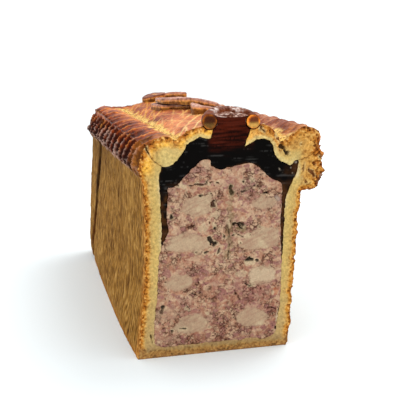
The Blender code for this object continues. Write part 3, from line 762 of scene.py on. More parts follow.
def border_tint(points, scoop):
    """The border seen from above: like the rim on the left, smoother and redder on the right."""
    blotch, grain = fractal(points, 17.0, 75), fractal(points, 1.7, 76)
    band = wave(points + 2 * wave(points, 9.0, 90)[..., None], (6.0, 5.0, 6.0), 88)
    bright = ramp(0.5 + 0.3 * blotch + 0.3 * grain + 0.4 * band,
                  [(0.0, tone(104, 42, 18)), (0.5, tone(164, 90, 58)), (1.0, tone(230, 168, 124))])
    tint = mix(rim_tint(points, scoop, BORDER_UP, LID_CRIMPS), bright, smooth((points[..., 0] - 26) / 8))
    near = smooth(1 - points[..., 1] / 24) * (0.6 + 0.5 * wave(points, 6.0, 67))
    return mix(tint, ramp(0.5 + 0.5 * grain + 0.3 * blotch, CRUST_SHADES), near * 0.8)


def panel_tint(points):
    """The domed panel: red-brown with patches of mauve that are painted sheen."""
    tint = ramp(0.45 + 0.5 * fractal(points, 17.0, 75) + 0.45 * fractal(points, 1.7, 76),
                [(0.0, LID_BROWN), (0.5, tone(206, 118, 70)), (1.0, LID_RED)])
    # Painted sheen: mauve patches laid over the red-brown.
    return mix(tint, tone(190, 112, 92), smooth(1.6 * wave(points, (9.0, 24.0, 9.0), 89) - 0.1) * 0.6)


def lid_skin():
    """The top of the lid: points and colours."""
    drift = np.interp(BORDER_CHAIN[0][:, :1], *LID_DRIFT)
    points = sweep(BORDER_CHAIN, ALL_ROUND[None, :], drift)
    outside = outward(points, slice(SEAM_ROWS, None), 0)
    outside[-1] = (0, 0, 1)
    scoop, uneven = crimps(points, ALL_ROUND)
    far = smooth(points[..., 1] / 150)
    line = scored(points) * PANEL_SHARE
    crumbs = lumps(points, 1.7, 72)[0]
    push = LID_RELIEF * outside_relief(points) - LID_CRIMPS * uneven * scoop * CRIMP_DEPTH
    push += 0.35 * line * smooth(1.2 - crumbs) + GROOVE * (0.9 * smooth(1.1 - crumbs * 1.6) - 0.6)
    tint = mix(border_tint(points, scoop), panel_tint(points), PANEL_SHARE)
    faded = 1 - 0.35 * smooth(points[..., 1] / 130)
    tint = mix(tint, LID_GOLD, line * (1.05 + 0.3 * fractal(points, 17.0, 75)) * faded)
    tint = tint * (1 - (PANEL_SHARE * far)[..., None] * (0.06, 0.3, 0.8))
    seam = smooth(GROOVE * 2.4 - 0.75 + 0.9 * fractal(points, 4.0, 99))
    tint = mix(tint, tone(255, 212, 118), seam)
    tint = mix(tint, tone(112, 34, 8), seam * smooth(1.3 - crumbs * 2.6) * 0.95)
    points = settled(points + outside * push[..., None], ALL_ROUND)
    for row in (points[-1], tint[-1]):             # the two sides meet along the middle
        row[:] = (row + row[::-1]) / 2
    return points, tint


# ---- chimney

RING_SECTION = ((CHIMNEY_X - RING_RADIUS, RING_HEIGHT), (CHIMNEY_X + RING_RADIUS, RING_HEIGHT))


def ring_skin():
    """Half a dough ring, rough and a little uneven: rows round the tube, columns along the half circle."""
    angle = np.linspace(0.0, math.pi, 110)[None, :]
    around = np.linspace(0.0, 2 * math.pi, 49)[:, None]
    aim = np.stack([-np.cos(angle), np.sin(angle), 0 * angle], axis=-1)
    up = np.array([0.0, 0.0, 1.0])
    tilt = RING_TILT * np.sin(angle)[..., None]
    middle = aim * RING_RADIUS + np.array([CHIMNEY_X, 0.0, RING_HEIGHT]) + up * tilt
    way = aim * np.cos(around)[..., None] + up * np.sin(around)[..., None]
    points = middle + way * RING_TUBE
    bump = 0.3 * fractal(points, 6.0, 81) + 0.16 * fractal(points, 1.6, 82) - 0.3
    points = points + way * bump[..., None]
    points[:, 0, 1] = points[:, -1, 1] = 0.0
    points[-1] = points[0]
    # Painted highlight: the top of the tube, away from its cut ends, turns light mauve with white painted
    # glints; the rest stays dark brown.
    top = smooth(2.0 * np.sin(around) - 0.7 + 0.4 * fractal(points, 5.0, 83))
    top = top * smooth(2.0 * np.sin(angle) - 0.5)
    tint = ramp(0.5 + 0.5 * fractal(points, 3.0, 85), [(0.0, tone(70, 26, 8)), (1.0, tone(140, 66, 22))])
    spark = 0.4 * fractal(points, 4.0, 86) + 0.8 * fractal(points, 1.1, 87)
    light = ramp(0.45 + 0.8 * spark, [(0.0, tone(84, 36, 20)), (0.5, tone(150, 98, 78)),
                                      (1.0, tone(246, 230, 222))])
    tint = mix(tint, light, top)
    return points, tint


# ---- cut face

def distance_to_path(points, path):
    """How far each (x, z) point lies from a line through the given points, or from the only one."""
    best = np.full(len(points), 1e9)
    path = np.asarray(path, float)
    for start, stop in zip(path, path[1:] if len(path) > 1 else path):
        way = stop - start
        share = np.clip(((points - start) @ way) / max(way @ way, 1e-9), 0, 1)
        best = np.minimum(best, np.linalg.norm(points - start - share[:, None] * way, axis=1))
    return best


BLACK = tone(22, 12, 8)
BROWN_RED = tone(66, 28, 18)
OLIVE = tone(130, 110, 74)
ORANGE = tone(196, 106, 60)
FAT = tone(208, 184, 148)
ROSE = tone(152, 102, 96)

# Marks on the meat: path (x, z), width, depth (below zero for a rise), colour, strength
MARKS = [
    ([(-18, 82.5), (-14, 81.3), (-9, 82.6), (-5, 82.2), (-1, 83.6), (2, 82.8)], 1.1, 0.9, BROWN_RED, 0.9),
    ([(-3.6, 83.4), (-2.4, 83.6)], 1.5, 1.2, BLACK, 0.95),
    ([(-7, 77.2), (-4, 77.9), (-1.5, 78)], 1.1, 0.8, BLACK, 0.85),
    ([(-0.7, 73.4), (-0.5, 72.6)], 2.2, 0.9, BROWN_RED, 0.9),
    ([(-20.6, 68.6), (-20.3, 67.4)], 1.8, 1.2, BLACK, 0.9),
    ([(-15, 62.6), (-12.6, 62.3), (-10, 62.8)], 1.4, 0.7, BROWN_RED, 0.85),
    ([(-2.3, 56.4), (-1.2, 54.4), (0.4, 53.8)], 1.9, 1.6, BLACK, 0.92),
    ([(4.8, 57.2), (4.9, 56.8)], 1.4, 1.0, BLACK, 0.9),
    ([(0.3, 61.6), (0.5, 61.2)], 1.2, 0.9, BLACK, 0.9),
    ([(-2.2, 64.4), (0.2, 62.8)], 1.3, 1.6, tone(64, 30, 22), 0.9),
    ([(3.2, 52.2), (1.4, 49)], 0.9, 0.9, BLACK, 0.8),
    ([(-9, 50.1), (-5, 49.7), (-2, 51)], 0.9, 0.8, BLACK, 0.8),
    ([(-24.4, 38.8), (-23.6, 37.2)], 1.0, 0.9, BLACK, 0.85),
    ([(-9.4, 35.6), (-8.4, 36.4), (-7.4, 35.4), (-8.2, 34.2), (-9.3, 34.7)], 0.8, 0.6, BROWN_RED, 0.9),
    ([(-19, 28.8), (-17, 27.2), (-16.2, 25.4)], 0.8, 0.6, BROWN_RED, 0.8),
    ([(-11, 30.2), (-9, 29.6), (-7, 30.4)], 0.8, 0.6, BLACK, 0.75),
    ([(-25.6, 22.4), (-24.7, 24.8)], 1.7, 1.4, BLACK, 0.92),
    ([(-13.2, 23.2), (-12.7, 22.8)], 1.4, 1.0, BLACK, 0.9),
    ([(-3.6, 20.6), (-3.3, 20.2)], 1.4, 1.0, BLACK, 0.9),
    ([(-21.2, 13), (-20.8, 12.5)], 1.3, 0.9, BLACK, 0.9),
    ([(-17, 13.4), (-14, 13.2)], 0.9, 0.8, BLACK, 0.85),
    ([(-2.6, 12.9), (-2.3, 12.6)], 1.2, 0.9, BLACK, 0.9),
    ([(8, 80.8), (8.4, 77.8)], 1.8, 1.6, BLACK, 0.93),
    ([(11.5, 77.6), (14, 78.2), (16.5, 79.6), (19.5, 80.4)], 1.2, 0.9, BLACK, 0.85),
    ([(14, 83.1), (14.4, 82.8)], 1.3, 0.9, BLACK, 0.9),
    ([(18, 83.6), (18.4, 83.3)], 1.3, 0.9, BLACK, 0.9),
    ([(24.2, 77.2), (26.2, 77.5)], 1.4, 1.2, BLACK, 0.9),
    ([(31, 74.8), (31.2, 74)], 2.0, 0.3, tone(186, 172, 158), 0.45),
    ([(12.4, 61.4), (13.2, 60.6)], 3.6, 0.2, OLIVE, 0.7),
    ([(9.6, 63), (14, 62.2)], 1.7, 1.5, tone(48, 30, 22), 0.92),
    ([(12.8, 61.4), (13.3, 60.8)], 1.4, 1.1, BLACK, 0.92),
    ([(22, 60.8), (24, 60.4)], 1.0, 0.8, BROWN_RED, 0.8),
    ([(9, 57.4), (11, 58.0), (14, 56.6), (17, 57.2)], 1.1, 0.9, BLACK, 0.85),
    ([(12.3, 53.8), (12.7, 53.3)], 1.3, 1.0, BLACK, 0.9),
    ([(16.2, 43.6), (19.2, 43.6)], 2.0, 0.2, FAT, 0.75),
    ([(16.3, 44.9), (19, 45.3)], 1.9, 1.5, BLACK, 0.93),
    ([(21, 44.7), (21.4, 44.3)], 1.2, 0.9, BLACK, 0.9),
    ([(15.5, 33.2), (17.6, 32.0), (20, 32.2)], 0.8, 0.8, BLACK, 0.8),
    ([(10, 30), (11.6, 27.6), (13, 25.4)], 0.8, 0.7, BROWN_RED, 0.8),
    ([(31, 28.6), (31.2, 27.4)], 2.2, 0.2, ORANGE, 0.4),
    ([(29, 28.6), (29.2, 27.6)], 1.4, 1.0, BLACK, 0.9),
    ([(26, 19), (28, 20.6), (31, 19.2), (32, 16)], 0.9, 0.7, BROWN_RED, 0.8),
    ([(27.5, 17.4), (29.5, 16.6), (30.6, 14.8)], 0.9, 0.7, BLACK, 0.75),
    ([(31.3, 9), (32, 14), (32.8, 20)], 0.9, 0.9, BLACK, 0.85),
    ([(6.6, 47.5), (7.6, 54), (7.0, 60), (8.4, 67)], 2.8, 0.1, OLIVE, 0.5),
    ([(7.4, 70.5), (8.2, 75), (7.8, 81)], 2.6, 0.1, OLIVE, 0.4),
    ([(6.8, 46), (7.4, 53), (7.2, 60), (7.9, 66)], 0.8, 0.7, tone(62, 56, 34), 0.8),
    ([(6.4, 64.5), (6.6, 62.0)], 1.2, 1.0, tone(44, 40, 26), 0.85),
    ([(-5, 62)], 5.0, -0.15, FAT, 0.6),
    ([(-19, 54.5), (-8, 54.5)], 5.0, 0.0, FAT, 0.3),
    ([(20, 37), (28, 37)], 6.0, 0.0, tone(216, 192, 158), 0.45),
    ([(0.5, 68)], 4.2, -0.1, FAT, 0.55),
    ([(12.5, 38.5), (14.5, 37.5)], 3.4, -0.1, FAT, 0.5),
    ([(-4.2, 92), (-3.8, 91)], 3.4, 0.0, PALE, 0.7),
    ([(-25, 21), (-20, 21)], 6.0, 0.0, PALE_PINK, 0.45),
    ([(-23.5, 8), (-21, 8)], 4.0, 0.0, PALE_PINK, 0.45),
]

# The same for the dough
DOUGH_MARKS = [
    ([(32.7, 99.2), (35.4, 95.8)], 1.9, 2.0, tone(52, 26, 12), 0.92),
    ([(42.5, 100.2), (42.9, 99.8)], 1.6, 1.2, tone(60, 30, 14), 0.85),
    ([(30.4, 105.6), (30.7, 105.2)], 1.5, 1.1, tone(60, 30, 14), 0.85),
    ([(-31, 11.6), (-30.2, 7.6)], 1.1, 1.6, tone(40, 22, 10), 0.9),
    ([(-30.2, 26.2), (-30.1, 25.8)], 1.2, 1.1, tone(52, 28, 14), 0.85),
    ([(-33, 102.6), (-31.9, 100.2), (-29.8, 95.6)], 0.8, 1.0, tone(60, 28, 12), 0.85),
    ([(48.6, 91.4), (50.2, 89.8)], 1.5, 1.3, tone(112, 48, 18), 0.85),
    ([(46.8, 87.6), (48.8, 86.2), (49.6, 84.6)], 1.6, 1.3, tone(120, 54, 20), 0.85),
    ([(51.8, 93.6), (53.0, 92.6)], 1.1, 1.0, tone(96, 40, 14), 0.85),
    ([(45.2, 82.6), (45.6, 81.8)], 1.2, 0.9, tone(112, 50, 18), 0.8),
    ([(44.4, 91.0), (43.8, 86.4), (43.2, 82.6)], 0.7, 0.8, tone(120, 62, 26), 0.75),
    ([(22.2, 108.0), (24.0, 106.4)], 1.3, 0.9, tone(96, 30, 14), 0.85),
    ([(30.0, 103.6), (31.6, 102.4)], 1.5, 0.9, tone(110, 34, 14), 0.85),
]


def lay_marks(points, marks, tint, back, rim):
    """Each mark colours and deepens the points it covers; a deep one has a light ragged rim."""
    place = flat(points)
    ragged = 0.8 * wave(place, 1.6, 91) + 0.6 * wave(place, 0.75, 92)
    breaks = smooth(0.5 + 1.5 * wave(place, 1.5, 93))
    lit = smooth(0.5 + wave(place, 2.0, 94))
    for path, width, depth, colour, strength in marks:
        if depth > 0.5:
            width = width * 0.82
        away = distance_to_path(points, path) + ragged * min(width * 0.6, 1.3)
        cover = smooth((width / 2 - away) / (0.22 + width * 0.1) + 0.5)
        if width < 1.3:
            cover = cover * breaks
        if depth > 0.7:
            tint = mix(tint, rim, smooth((width / 2 + 0.55 - away) / 0.5 + 0.5) * lit * 0.7)
        tint = mix(tint, colour, cover * strength)
        back = back + depth * cover
    return tint, back


# Pale pieces of meat: corners (x, z) of the outline and depth behind the cut
CHUNKS = {
    "meat_chunk_1": (((-16, 70), (-13, 76), (-7, 77.5), (-1.8, 77), (-1.8, 69), (-9, 67.5)), 18.0),
    "meat_chunk_2": (((-23, 52.3), (-20.5, 58), (-14, 60), (-5, 57.5), (-2, 53), (-10, 50.6)), 20.0),
    "meat_chunk_3": (((12.5, 51), (15, 56), (22, 60), (31.4, 59.5), (31.3, 51), (22, 50)), 21.0),
    "meat_chunk_4": (((17, 38), (19, 41), (26, 41.5), (31, 39), (30, 34), (23, 31.8), (18, 33.5)), 16.0),
    "meat_chunk_5": (((-24, 35.5), (-20, 39.8), (-14, 40), (-10, 36.5), (-12.5, 33.2), (-19, 31.8)), 15.0),
    "meat_chunk_6": (((-20, 14), (-15, 19), (-8, 20), (-3, 16), (-6, 11.5), (-14, 10.8)), 17.0),
    "meat_chunk_7": (((11, 17), (15, 20.5), (23, 20), (28, 16), (24, 12), (14, 12)), 19.0),
    "meat_chunk_8": (((18.5, 72), (22, 75), (28, 75), (31, 72.5), (28, 69.6), (21, 69.6)), 14.0),
}
CHUNK_STRAY = 0.55
CHUNK_POINTS = 16         # from corner to corner
CHUNK_REACH = 14.0        # no piece reaches further than this from its middle


def closed_curve(corners, count):
    """Points evenly spread on a smooth closed curve through the corners."""
    corners = np.asarray(corners, float)
    place = np.arange(count) * len(corners) / count
    k = place.astype(int)
    t = (place % 1.0)[:, None]
    a, b, c, d = (corners[(k + j) % len(corners)] for j in (-1, 0, 1, 2))
    return 0.5 * (2 * b + (c - a) * t + (2 * a - 5 * b + 4 * c - d) * t ** 2
                  + (3 * b - a - 3 * c + d) * t ** 3)


def chunk_outline(corners):
    """A rounded outline through the corners, which strays."""
    corners = np.asarray(corners, float)
    sides = zip(corners, np.roll(corners, -1, axis=0))
    straight = np.concatenate([np.linspace(a, b, CHUNK_POINTS, endpoint=False) for a, b in sides])
    points = 0.55 * closed_curve(corners, CHUNK_POINTS * len(corners)) + 0.45 * straight
    place = flat(points)
    return points + CHUNK_STRAY * (waves(place, 3.2, 101, 102) + 0.5 * waves(place, 1.0, 103, 104))


OUTLINES = {name: chunk_outline(corners) for name, (corners, _) in CHUNKS.items()}


def thread(place, size, seed, width):
    """Thin winding lines: 1 on a line."""
    return smooth(1 - np.abs(fractal(place, size, seed)) / width)


def meat_look(points):
    """Forcemeat: pink-brown grains with thin dark lines, and plainer pale pieces of meat."""
    place = flat(points)
    pale = pale_share(points)
    fine, _, fine_number = lumps(place, 0.9, 115)
    grain = fractal(place, 1.3, 120)
    base = ramp(0.5 + 0.25 * fractal(place, 9.0, 119) + 0.42 * grain + 0.3 * wave(place, 0.55, 121)
                + 0.1 * (points[:, 1] / 45 - 1), [(0.0, MEAT_RED), (0.5, MEAT), (1.0, MEAT_CREAM)])
    first, second, cell = lumps(place * (1.0, 1.0, 1.5) + 1.6 * waves(place, 3.5, 134, 135, 136), 2.3, 137)
    base = mix(base, MEAT_CREAM, smooth((cell - 0.62) * 5) * 0.6)
    base = mix(base, ROSE, smooth((0.3 - cell) * 5) * 0.7)
    base = mix(base, ROSE, smooth(fractal(place, 8.0, 122) * 1.8 - 0.1) * 0.4)
    seams = smooth(1.15 - (second - first) / 0.17) * smooth(0.6 + 1.8 * wave(place, 2.6, 138))
    winding = np.maximum(thread(place, 3.6, 127, 0.075), thread(place, 1.9, 133, 0.12))
    lines = np.maximum(seams, winding) * smooth(0.6 + 1.4 * fractal(place, 5.0, 128))
    base = mix(base, MEAT_CREAM, smooth((fine_number - 0.7) * 6) * smooth(1.2 - fine * 2) * 0.6)
    pits = smooth((0.2 - fine_number) * 9) * smooth(1.15 - fine * 2.2)
    light = ramp(0.5 + 0.35 * fractal(place, 5.0, 124) + 0.2 * grain,
                 [(0.0, PALE_PINK), (0.55, PALE), (1.0, FAT)])
    x, z = points.T
    fibre = wave(np.stack([x + 2 * z, 0 * x, z - 0.5 * x], axis=-1), (8.0, 1.0, 0.7), 129)
    light = mix(light, MEAT_RED, smooth(fibre * 1.4 - 0.1) * 0.3)
    share = 1 - 0.8 * pale
    tint = mix(base, light, pale)
    tint = mix(tint, MEAT_LINE, lines * 0.9 * share)
    tint = mix(tint, MEAT_LINE * 0.5, pits * 0.95 * share)
    return lay_marks(points, MARKS, tint, (0.3 * lines + 0.3 * pits) * share + 0.06 * grain + 0.04, FAT)


def pale_share(points):
    """1 inside the pale pieces of meat, 0 outside, soft at their borders."""
    share = np.zeros(len(points))
    for outline in OUTLINES.values():
        near = np.linalg.norm(points - outline.mean(axis=0), axis=1) < CHUNK_REACH
        if near.any():
            spots = points[near]
            away = nearest(spots, outline)[0] * np.where(inside(spots, outline), 1, -1)
            away = away + 0.7 * wave(flat(spots), 1.6, 131)
            share[near] = np.maximum(share[near], smooth(away / 1.6 + 0.5))
    return share


BALL = (-19.8, 95.8)       # the pale end of the lid's dough on the left
GOLD_ACROSS = [(10, tone(252, 188, 72)), (20, tone(222, 156, 72)), (34, tone(186, 126, 54)),
               (50, tone(214, 156, 76))]


def dough_look(points):
    """Cut dough: a crumbly brown outside, pale yellow further in, wider brown in the rim."""
    place = flat(points)
    x, z = points.T
    away, within = (nearest(points, edge)[0] for edge in (OUTER, INNER))
    rim = smooth((z - 84) / 8)
    base = smooth((7 - z) / 3)
    lobe = smooth((x - 41) / 4) * smooth((z - 80) / 5)
    depth = away * (1 - 0.45 * np.maximum(rim, lobe) - 0.3 * base - 0.2 * lobe)
    depth = depth + 0.45 * fractal(place, 3.0, 141) + 0.35 * fractal(place, 0.9, 142)
    tint = ramp(depth, [(0.0, tone(140, 72, 22)), (0.6, tone(188, 114, 40)), (1.7, tone(208, 144, 60)),
                        (2.6, tone(206, 168, 100)), (4.2, tone(208, 174, 102)), (6.3, tone(206, 177, 110)),
                        (8.4, tone(226, 204, 156))])
    crumb = fractal(place, 0.9, 149) + 0.4 * wave(place, 0.45, 150)
    pit, gold = smooth((-crumb - 0.25) * 2.6), smooth((crumb - 0.25) * 2.6)
    ball = 1 - smooth((np.linalg.norm(points - BALL, axis=1) + 1.2 * wave(place, 2.5, 143) - 3.4) / 3.2)
    left_rim = smooth((-27 - x) / 4) * smooth((z - 85) / 6)
    middle = smooth((z - 97) / 5) * smooth((40 - x) / 6)
    ridge = smooth((x - 34) / 4) * smooth((z - 95) / 4)
    golden = np.maximum(np.maximum(left_rim, middle), np.maximum(lobe, 0.9 * ridge)) * (1 - ball)
    golden = golden * smooth(depth - 0.7 - 0.3 * middle)
    tint = mix(tint, ramp(x, GOLD_ACROSS), golden * 0.8)
    cream = smooth(1.5 - (within + 0.4 * fractal(place, 2.0, 158)) / 1.7) * smooth((z - 88) / 3)
    cream = cream * smooth((x + 16) / 4) * smooth((41 - x) / 3)
    tint = mix(tint, tone(222, 198, 132), cream * 0.8)
    tint = mix(tint, tone(228, 206, 136), ball * 0.35)
    amount = np.maximum(smooth(1.35 - depth / 3.2), golden * 0.6) * (1 - ball) * (1 - 0.6 * cream)
    dark = mix(tone(150, 92, 34), tone(80, 34, 8), 1.4 - depth)
    tint = mix(tint, dark, pit * (0.1 + 0.65 * amount + 0.25 * smooth(2 - depth)))
    tint = mix(tint, tone(250, 196, 110), gold * (0.15 + 0.4 * amount + 0.2 * smooth(2 - depth)))
    tint = mix(tint, tone(146, 116, 76), base * 0.6)
    tint = mix(tint, tone(164, 134, 108), smooth((44 - z) / 40) * smooth(depth / 2 - 1) * 0.4)
    grain = fractal(place, 0.8, 147)
    browned = np.maximum(left_rim, middle) * (1 - ball) * (1 - cream)
    tint = tint * (1 + 0.16 * grain + 0.09 * browned)[:, None]
    back = (0.4 * pit - 0.15 * gold) * (0.4 + amount) + 0.08 * grain + 0.1
    return lay_marks(points, DOUGH_MARKS, tint, back, tone(228, 198, 136))


def jelly_look(points):
    """Almost black aspic with faint grey streaks where knife marks carry a painted reflection, brown where it
    is thin, dark red in the chimney, with painted glints in the right corner.
    """
    place = flat(points)
    x, z = points.T
    border = nearest(points, INNER)[0]
    # Knife marks, painted as grey reflections on the glossy cut.
    streak = wave(place + 0.6 * wave(place, 8.0, 155)[:, None], (8.0, 1.0, 0.45), 151)
    tint = mix(JELLY, tone(62, 60, 58), smooth(streak * 2.4 - 0.75) * 0.75)
    fade = 3 * wave(place, (5.0, 1.0, 1.6), 157)
    chimney = smooth((z + fade - 95) / 9) * smooth((12 - np.abs(x - CHIMNEY_X)) / 3)
    tint = mix(tint, ramp(0.3 + 0.5 * smooth((z - 104) / 8) + 1.1 * streak,
                          [(0.0, JELLY_RED * 0.2), (1.0, JELLY_RED * 1.5)]), chimney * 0.9)
    thin = smooth((86 - z) / 8) * smooth(1.3 - border / 2.2)
    edge = smooth(1 - border / 0.8) * (1 - chimney) * smooth(0.3 + wave(place, 2.0, 153))
    corner = smooth((x - 33) / 5) * smooth((94 - z) / 6)
    thin = np.maximum(thin, corner) * smooth(0.6 + wave(place, 2.6, 154))
    tint = mix(tint, JELLY_BROWN, np.maximum(thin * 0.75, edge * 0.6))
    # Painted glints in the right corner.
    corner_glints = smooth((x - 30) / 4) * smooth((96 - z) / 4) * smooth((z - 84) / 4)
    tint = mix(tint, tone(206, 190, 168), corner_glints * smooth(fractal(place, 1.0, 156) * 3 - 1.6))
    return tint, 0.12 * wave(place, 2.0, 152) + 0.5


def cut_relief(points, back=0.0):
    """Depth behind the cut: none along the outer edge of the dough, more in the creases between pieces."""
    fade = smooth(nearest(points, OUTER)[0] / 0.7)
    return np.maximum(back, 0.0) * fade + 0.28 * np.exp(-nearest(points, INNER)[0] / 0.35) * fade


def cut_cap(look, outline, spacing, wet=0.0, holes=()):
    """A part of the cut face with its look: colours, and how deep they lie."""
    def relief(points):
        tint, back = look(points)
        return cut_relief(points, back), tint
    return cap(outline, spacing, relief, holes, wet)


def loop(left, right):
    """One closed outline from two courses that share their first and last points."""
    joined = np.concatenate([left, right[::-1][1:-1]])
    step = np.linalg.norm(joined - np.roll(joined, 1, axis=0), axis=1)
    return joined[step > 1e-3]


# ---- ornaments

# Corners (x, y, height of the upper face) and height of the underside
ORNAMENTS = {
    "ornament_front": (((2, 53, 116.9), (8, 47, 116.2), (16, 50, 115.2), (19, 74, 115), (16, 92, 115.2),
                        (11.5, 92, 116.6)), 107.5),
    "ornament_low": (((-4.5, 108, 114.7), (3, 102, 115), (11, 95, 115.2), (15, 106, 115), (15, 130, 115),
                      (4, 146, 114.8), (-5, 136, 114.6)), 107.5),
    "ornament_leaf": (((-2.2, 187, 116.6), (0, 178, 117.4), (7, 172, 119), (13, 175, 119.8), (14, 188, 120.2),
                       (9, 197, 119.8), (1, 196, 118.2)), 110.0),
    "ornament_top": (((-3.5, 108, 118.4), (0, 98, 118.8), (9, 76, 119.4), (16, 59, 117.6), (19.5, 58, 116.4),
                      (20, 80, 118), (14, 112, 119), (8, 140, 118.2), (-2, 136, 118)), 115.3),
    "ornament_strip": (((3.5, 131, 121.4), (8.5, 127, 121.9), (15.5, 127, 121.7), (17, 130, 121.4),
                        (15.5, 133.5, 121.4), (8.5, 135, 121.7)), 115.3),
}
ORNAMENT_ROUND = 0.9
ORNAMENT_STEP = 0.7
ORNAMENT_POINTS = 34      # from corner to corner


def moved_in(outline, distance):
    """A closed outline that runs counter-clockwise, moved inwards."""
    way = unit(np.roll(outline, -1, axis=0) - np.roll(outline, 1, axis=0))
    return outline + np.stack([-way[:, 1], way[:, 0]], axis=-1) * distance


def level_cap(outline, spacing, height):
    """A face that looks up: height(points) is how high each of its (x, y) points lies."""
    sheet = cap(outline, spacing, lambda points: (-height(points), BAKED))
    sheet.points = sheet.points[:, [0, 2, 1]] * (1.0, 1.0, -1.0)
    return sheet


def ornament(corners, underside):
    """A slab of dough with a rounded upper edge, its foot sunk a little into what carries it."""
    curve = closed_curve(corners, ORNAMENT_POINTS * len(corners))
    curve[:, :2] += 0.35 * waves(curve, 4.0, 171, 172)
    x, y = curve[:, 0], curve[:, 1]
    if np.sum(x * np.roll(y, -1) - np.roll(x, -1) * y) < 0:      # it runs clockwise
        curve = curve[::-1]
    outline, upper = curve[:, :2], curve[:, 2]
    spots = LID_TOP.reshape(-1, 3)
    foot = np.maximum(underside, spots[nearest(outline, spots[:, :2])[1], 2] - 0.5)
    rings = [np.column_stack([outline, foot + (upper - ORNAMENT_ROUND - foot) * share])
             for share in np.arange(9) / 8]
    for angle in np.radians([30, 60, 85]):
        rings.append(np.column_stack([moved_in(outline, ORNAMENT_ROUND * (1 - math.cos(angle))),
                                      upper - ORNAMENT_ROUND * (1 - math.sin(angle))]))
    rings = np.stack(rings)
    edge = rings[-1]

    def height(points):
        """Upper face: the height of the edge, carried smoothly across."""
        some = edge[::4]
        weight = 1 / (np.linalg.norm(points[:, None, :] - some[:, :2], axis=2) + 0.05) ** 3
        level = (weight * some[:, 2]).sum(axis=1) / weight.sum(axis=1)
        away, which = nearest(points, edge[:, :2])
        blend = smooth(away / 1.5)
        return level * blend + edge[which, 2] * (1 - blend)

    bottom = level_cap(rings[0, :, :2], 2.5, lambda points: foot[nearest(points, outline)[1]])
    bottom.faces = [group[:, ::-1] for group in bottom.faces]
    side = grid(np.concatenate([rings, rings[:, :1]], axis=1), BAKED, flip=True)
    piece = join(side, level_cap(edge[:, :2], ORNAMENT_STEP, height), bottom)
    piece.tint = ornament_tint(piece.points, outline, upper)
    bump = 0.18 * fractal(piece.points, 5.0, 173) + 0.12 * fractal(piece.points, 1.8, 174)
    way = unit(piece.points[:, :2] - piece.points.mean(axis=0)[:2], 1e-6)
    high = piece.points[:, 2] > foot.mean() + 0.6
    piece.points[:, 2] += np.where(high, bump - 0.15, 0)
    piece.points[:, :2] += way * (np.where(high, bump, 0) - 0.2)[:, None]
    return piece


def ornament_tint(points, outline, upper):
    """Brown glazed top with pinkish painted sheen, golden edge with a painted highlight along it, layered
    brown sides.
    """
    depth = upper[nearest(points[:, :2], outline)[1]] - points[:, 2]
    grain = fractal(points, 1.6, 175)
    # The pinkish light patches of the top are painted sheen.
    top = ramp(0.5 + 0.4 * fractal(points, 7.0, 176) + 0.3 * grain,
               [(0.0, tone(100, 54, 40)), (0.5, tone(196, 138, 118)), (1.0, tone(244, 202, 180))])
    top = top * (1 - smooth((points[:, 1:2] - 150) / 20) * (0.54, 0.7, 0.77))
    # Painted highlight: a bright golden line just below the rounded upper edge.
    bright = np.exp(-((depth - 1.5 - 0.3 * grain) / 0.45) ** 2) * (0.75 + 0.5 * grain)
    side = ramp(0.5 + 0.3 * fractal(points, 4.0, 177) + 0.35 * grain,
                [(0.0, tone(72, 34, 8)), (0.5, tone(132, 78, 26)), (1.0, tone(206, 146, 64))])
    return mix(mix(top, side, smooth((depth - 1.5) / 0.5)), tone(250, 172, 86), bright)


# ---- putting it together

CUT_STEP = 0.45           # between the points of cut dough
MEAT_STEP = 0.35
JELLY_STEP = 0.6
HOLE_MARGIN = 0.4
BODY_TOP = 99.0           # above this the aspic is the column in the chimney
CHUNK_GAP = 0.3           # behind a pale piece
RING_EDGE = RING_TUBE + 0.05


def shell(course, turn, tint=BAKED, wet=0.0, front=(0, -1)):
    """A hidden skin: many rows, few turns. Its edge on the cut face follows the relief there."""
    points = sweep(course, turn)
    for column in front:
        points[:, column, 1] = cut_relief(points[:, column][:, [0, 2]])
    return grid(points, tint, wet)


def chunk_side(name, tint, gap=0.0):
    """The side of a pale piece of meat behind the cut face, tapering to a flat end. With a gap it is
    the side of the hollow round that piece."""
    outline, depth = OUTLINES[name], CHUNKS[name][1]
    middle = outline.mean(axis=0)
    closed = np.concatenate([outline, outline[:1]])
    rings = (0.0, 1.0), (depth * 0.45 + gap, 1.0), (depth * 0.8 + gap, 0.8), (depth + gap, 0.4)
    points = np.stack([flat(middle + (closed - middle) * share, at) for at, share in rings])
    points[0, :, 1] = cut_relief(closed)
    end = np.broadcast_to(points[-1].mean(axis=0), (1, *points.shape[1:]))
    return grid(np.concatenate([points, end]), tint, 0.5, flip=gap > 0)


def arc(middle, start, stop):
    """Points round a section of the ring on the cut face, between two angles in degrees."""
    count = max(int(abs(stop - start) * math.pi / 180 * RING_EDGE / EDGE), 3)
    angles = np.radians(np.linspace(start, stop, count))
    return np.array(middle) + RING_EDGE * np.stack([np.cos(angles), np.sin(angles)], axis=-1)


def open_hole(sheet, above=0.0):
    """The sheet without the faces that lie in the chimney, higher than `above`."""
    away = np.hypot(sheet.points[:, 0] - CHIMNEY_X, sheet.points[:, 1])
    clear = (away > HOLE_RADIUS - HOLE_MARGIN) | (sheet.points[:, 2] <= above)
    sheet.faces = [group[clear[group].any(axis=1)] for group in sheet.faces]
    return sheet


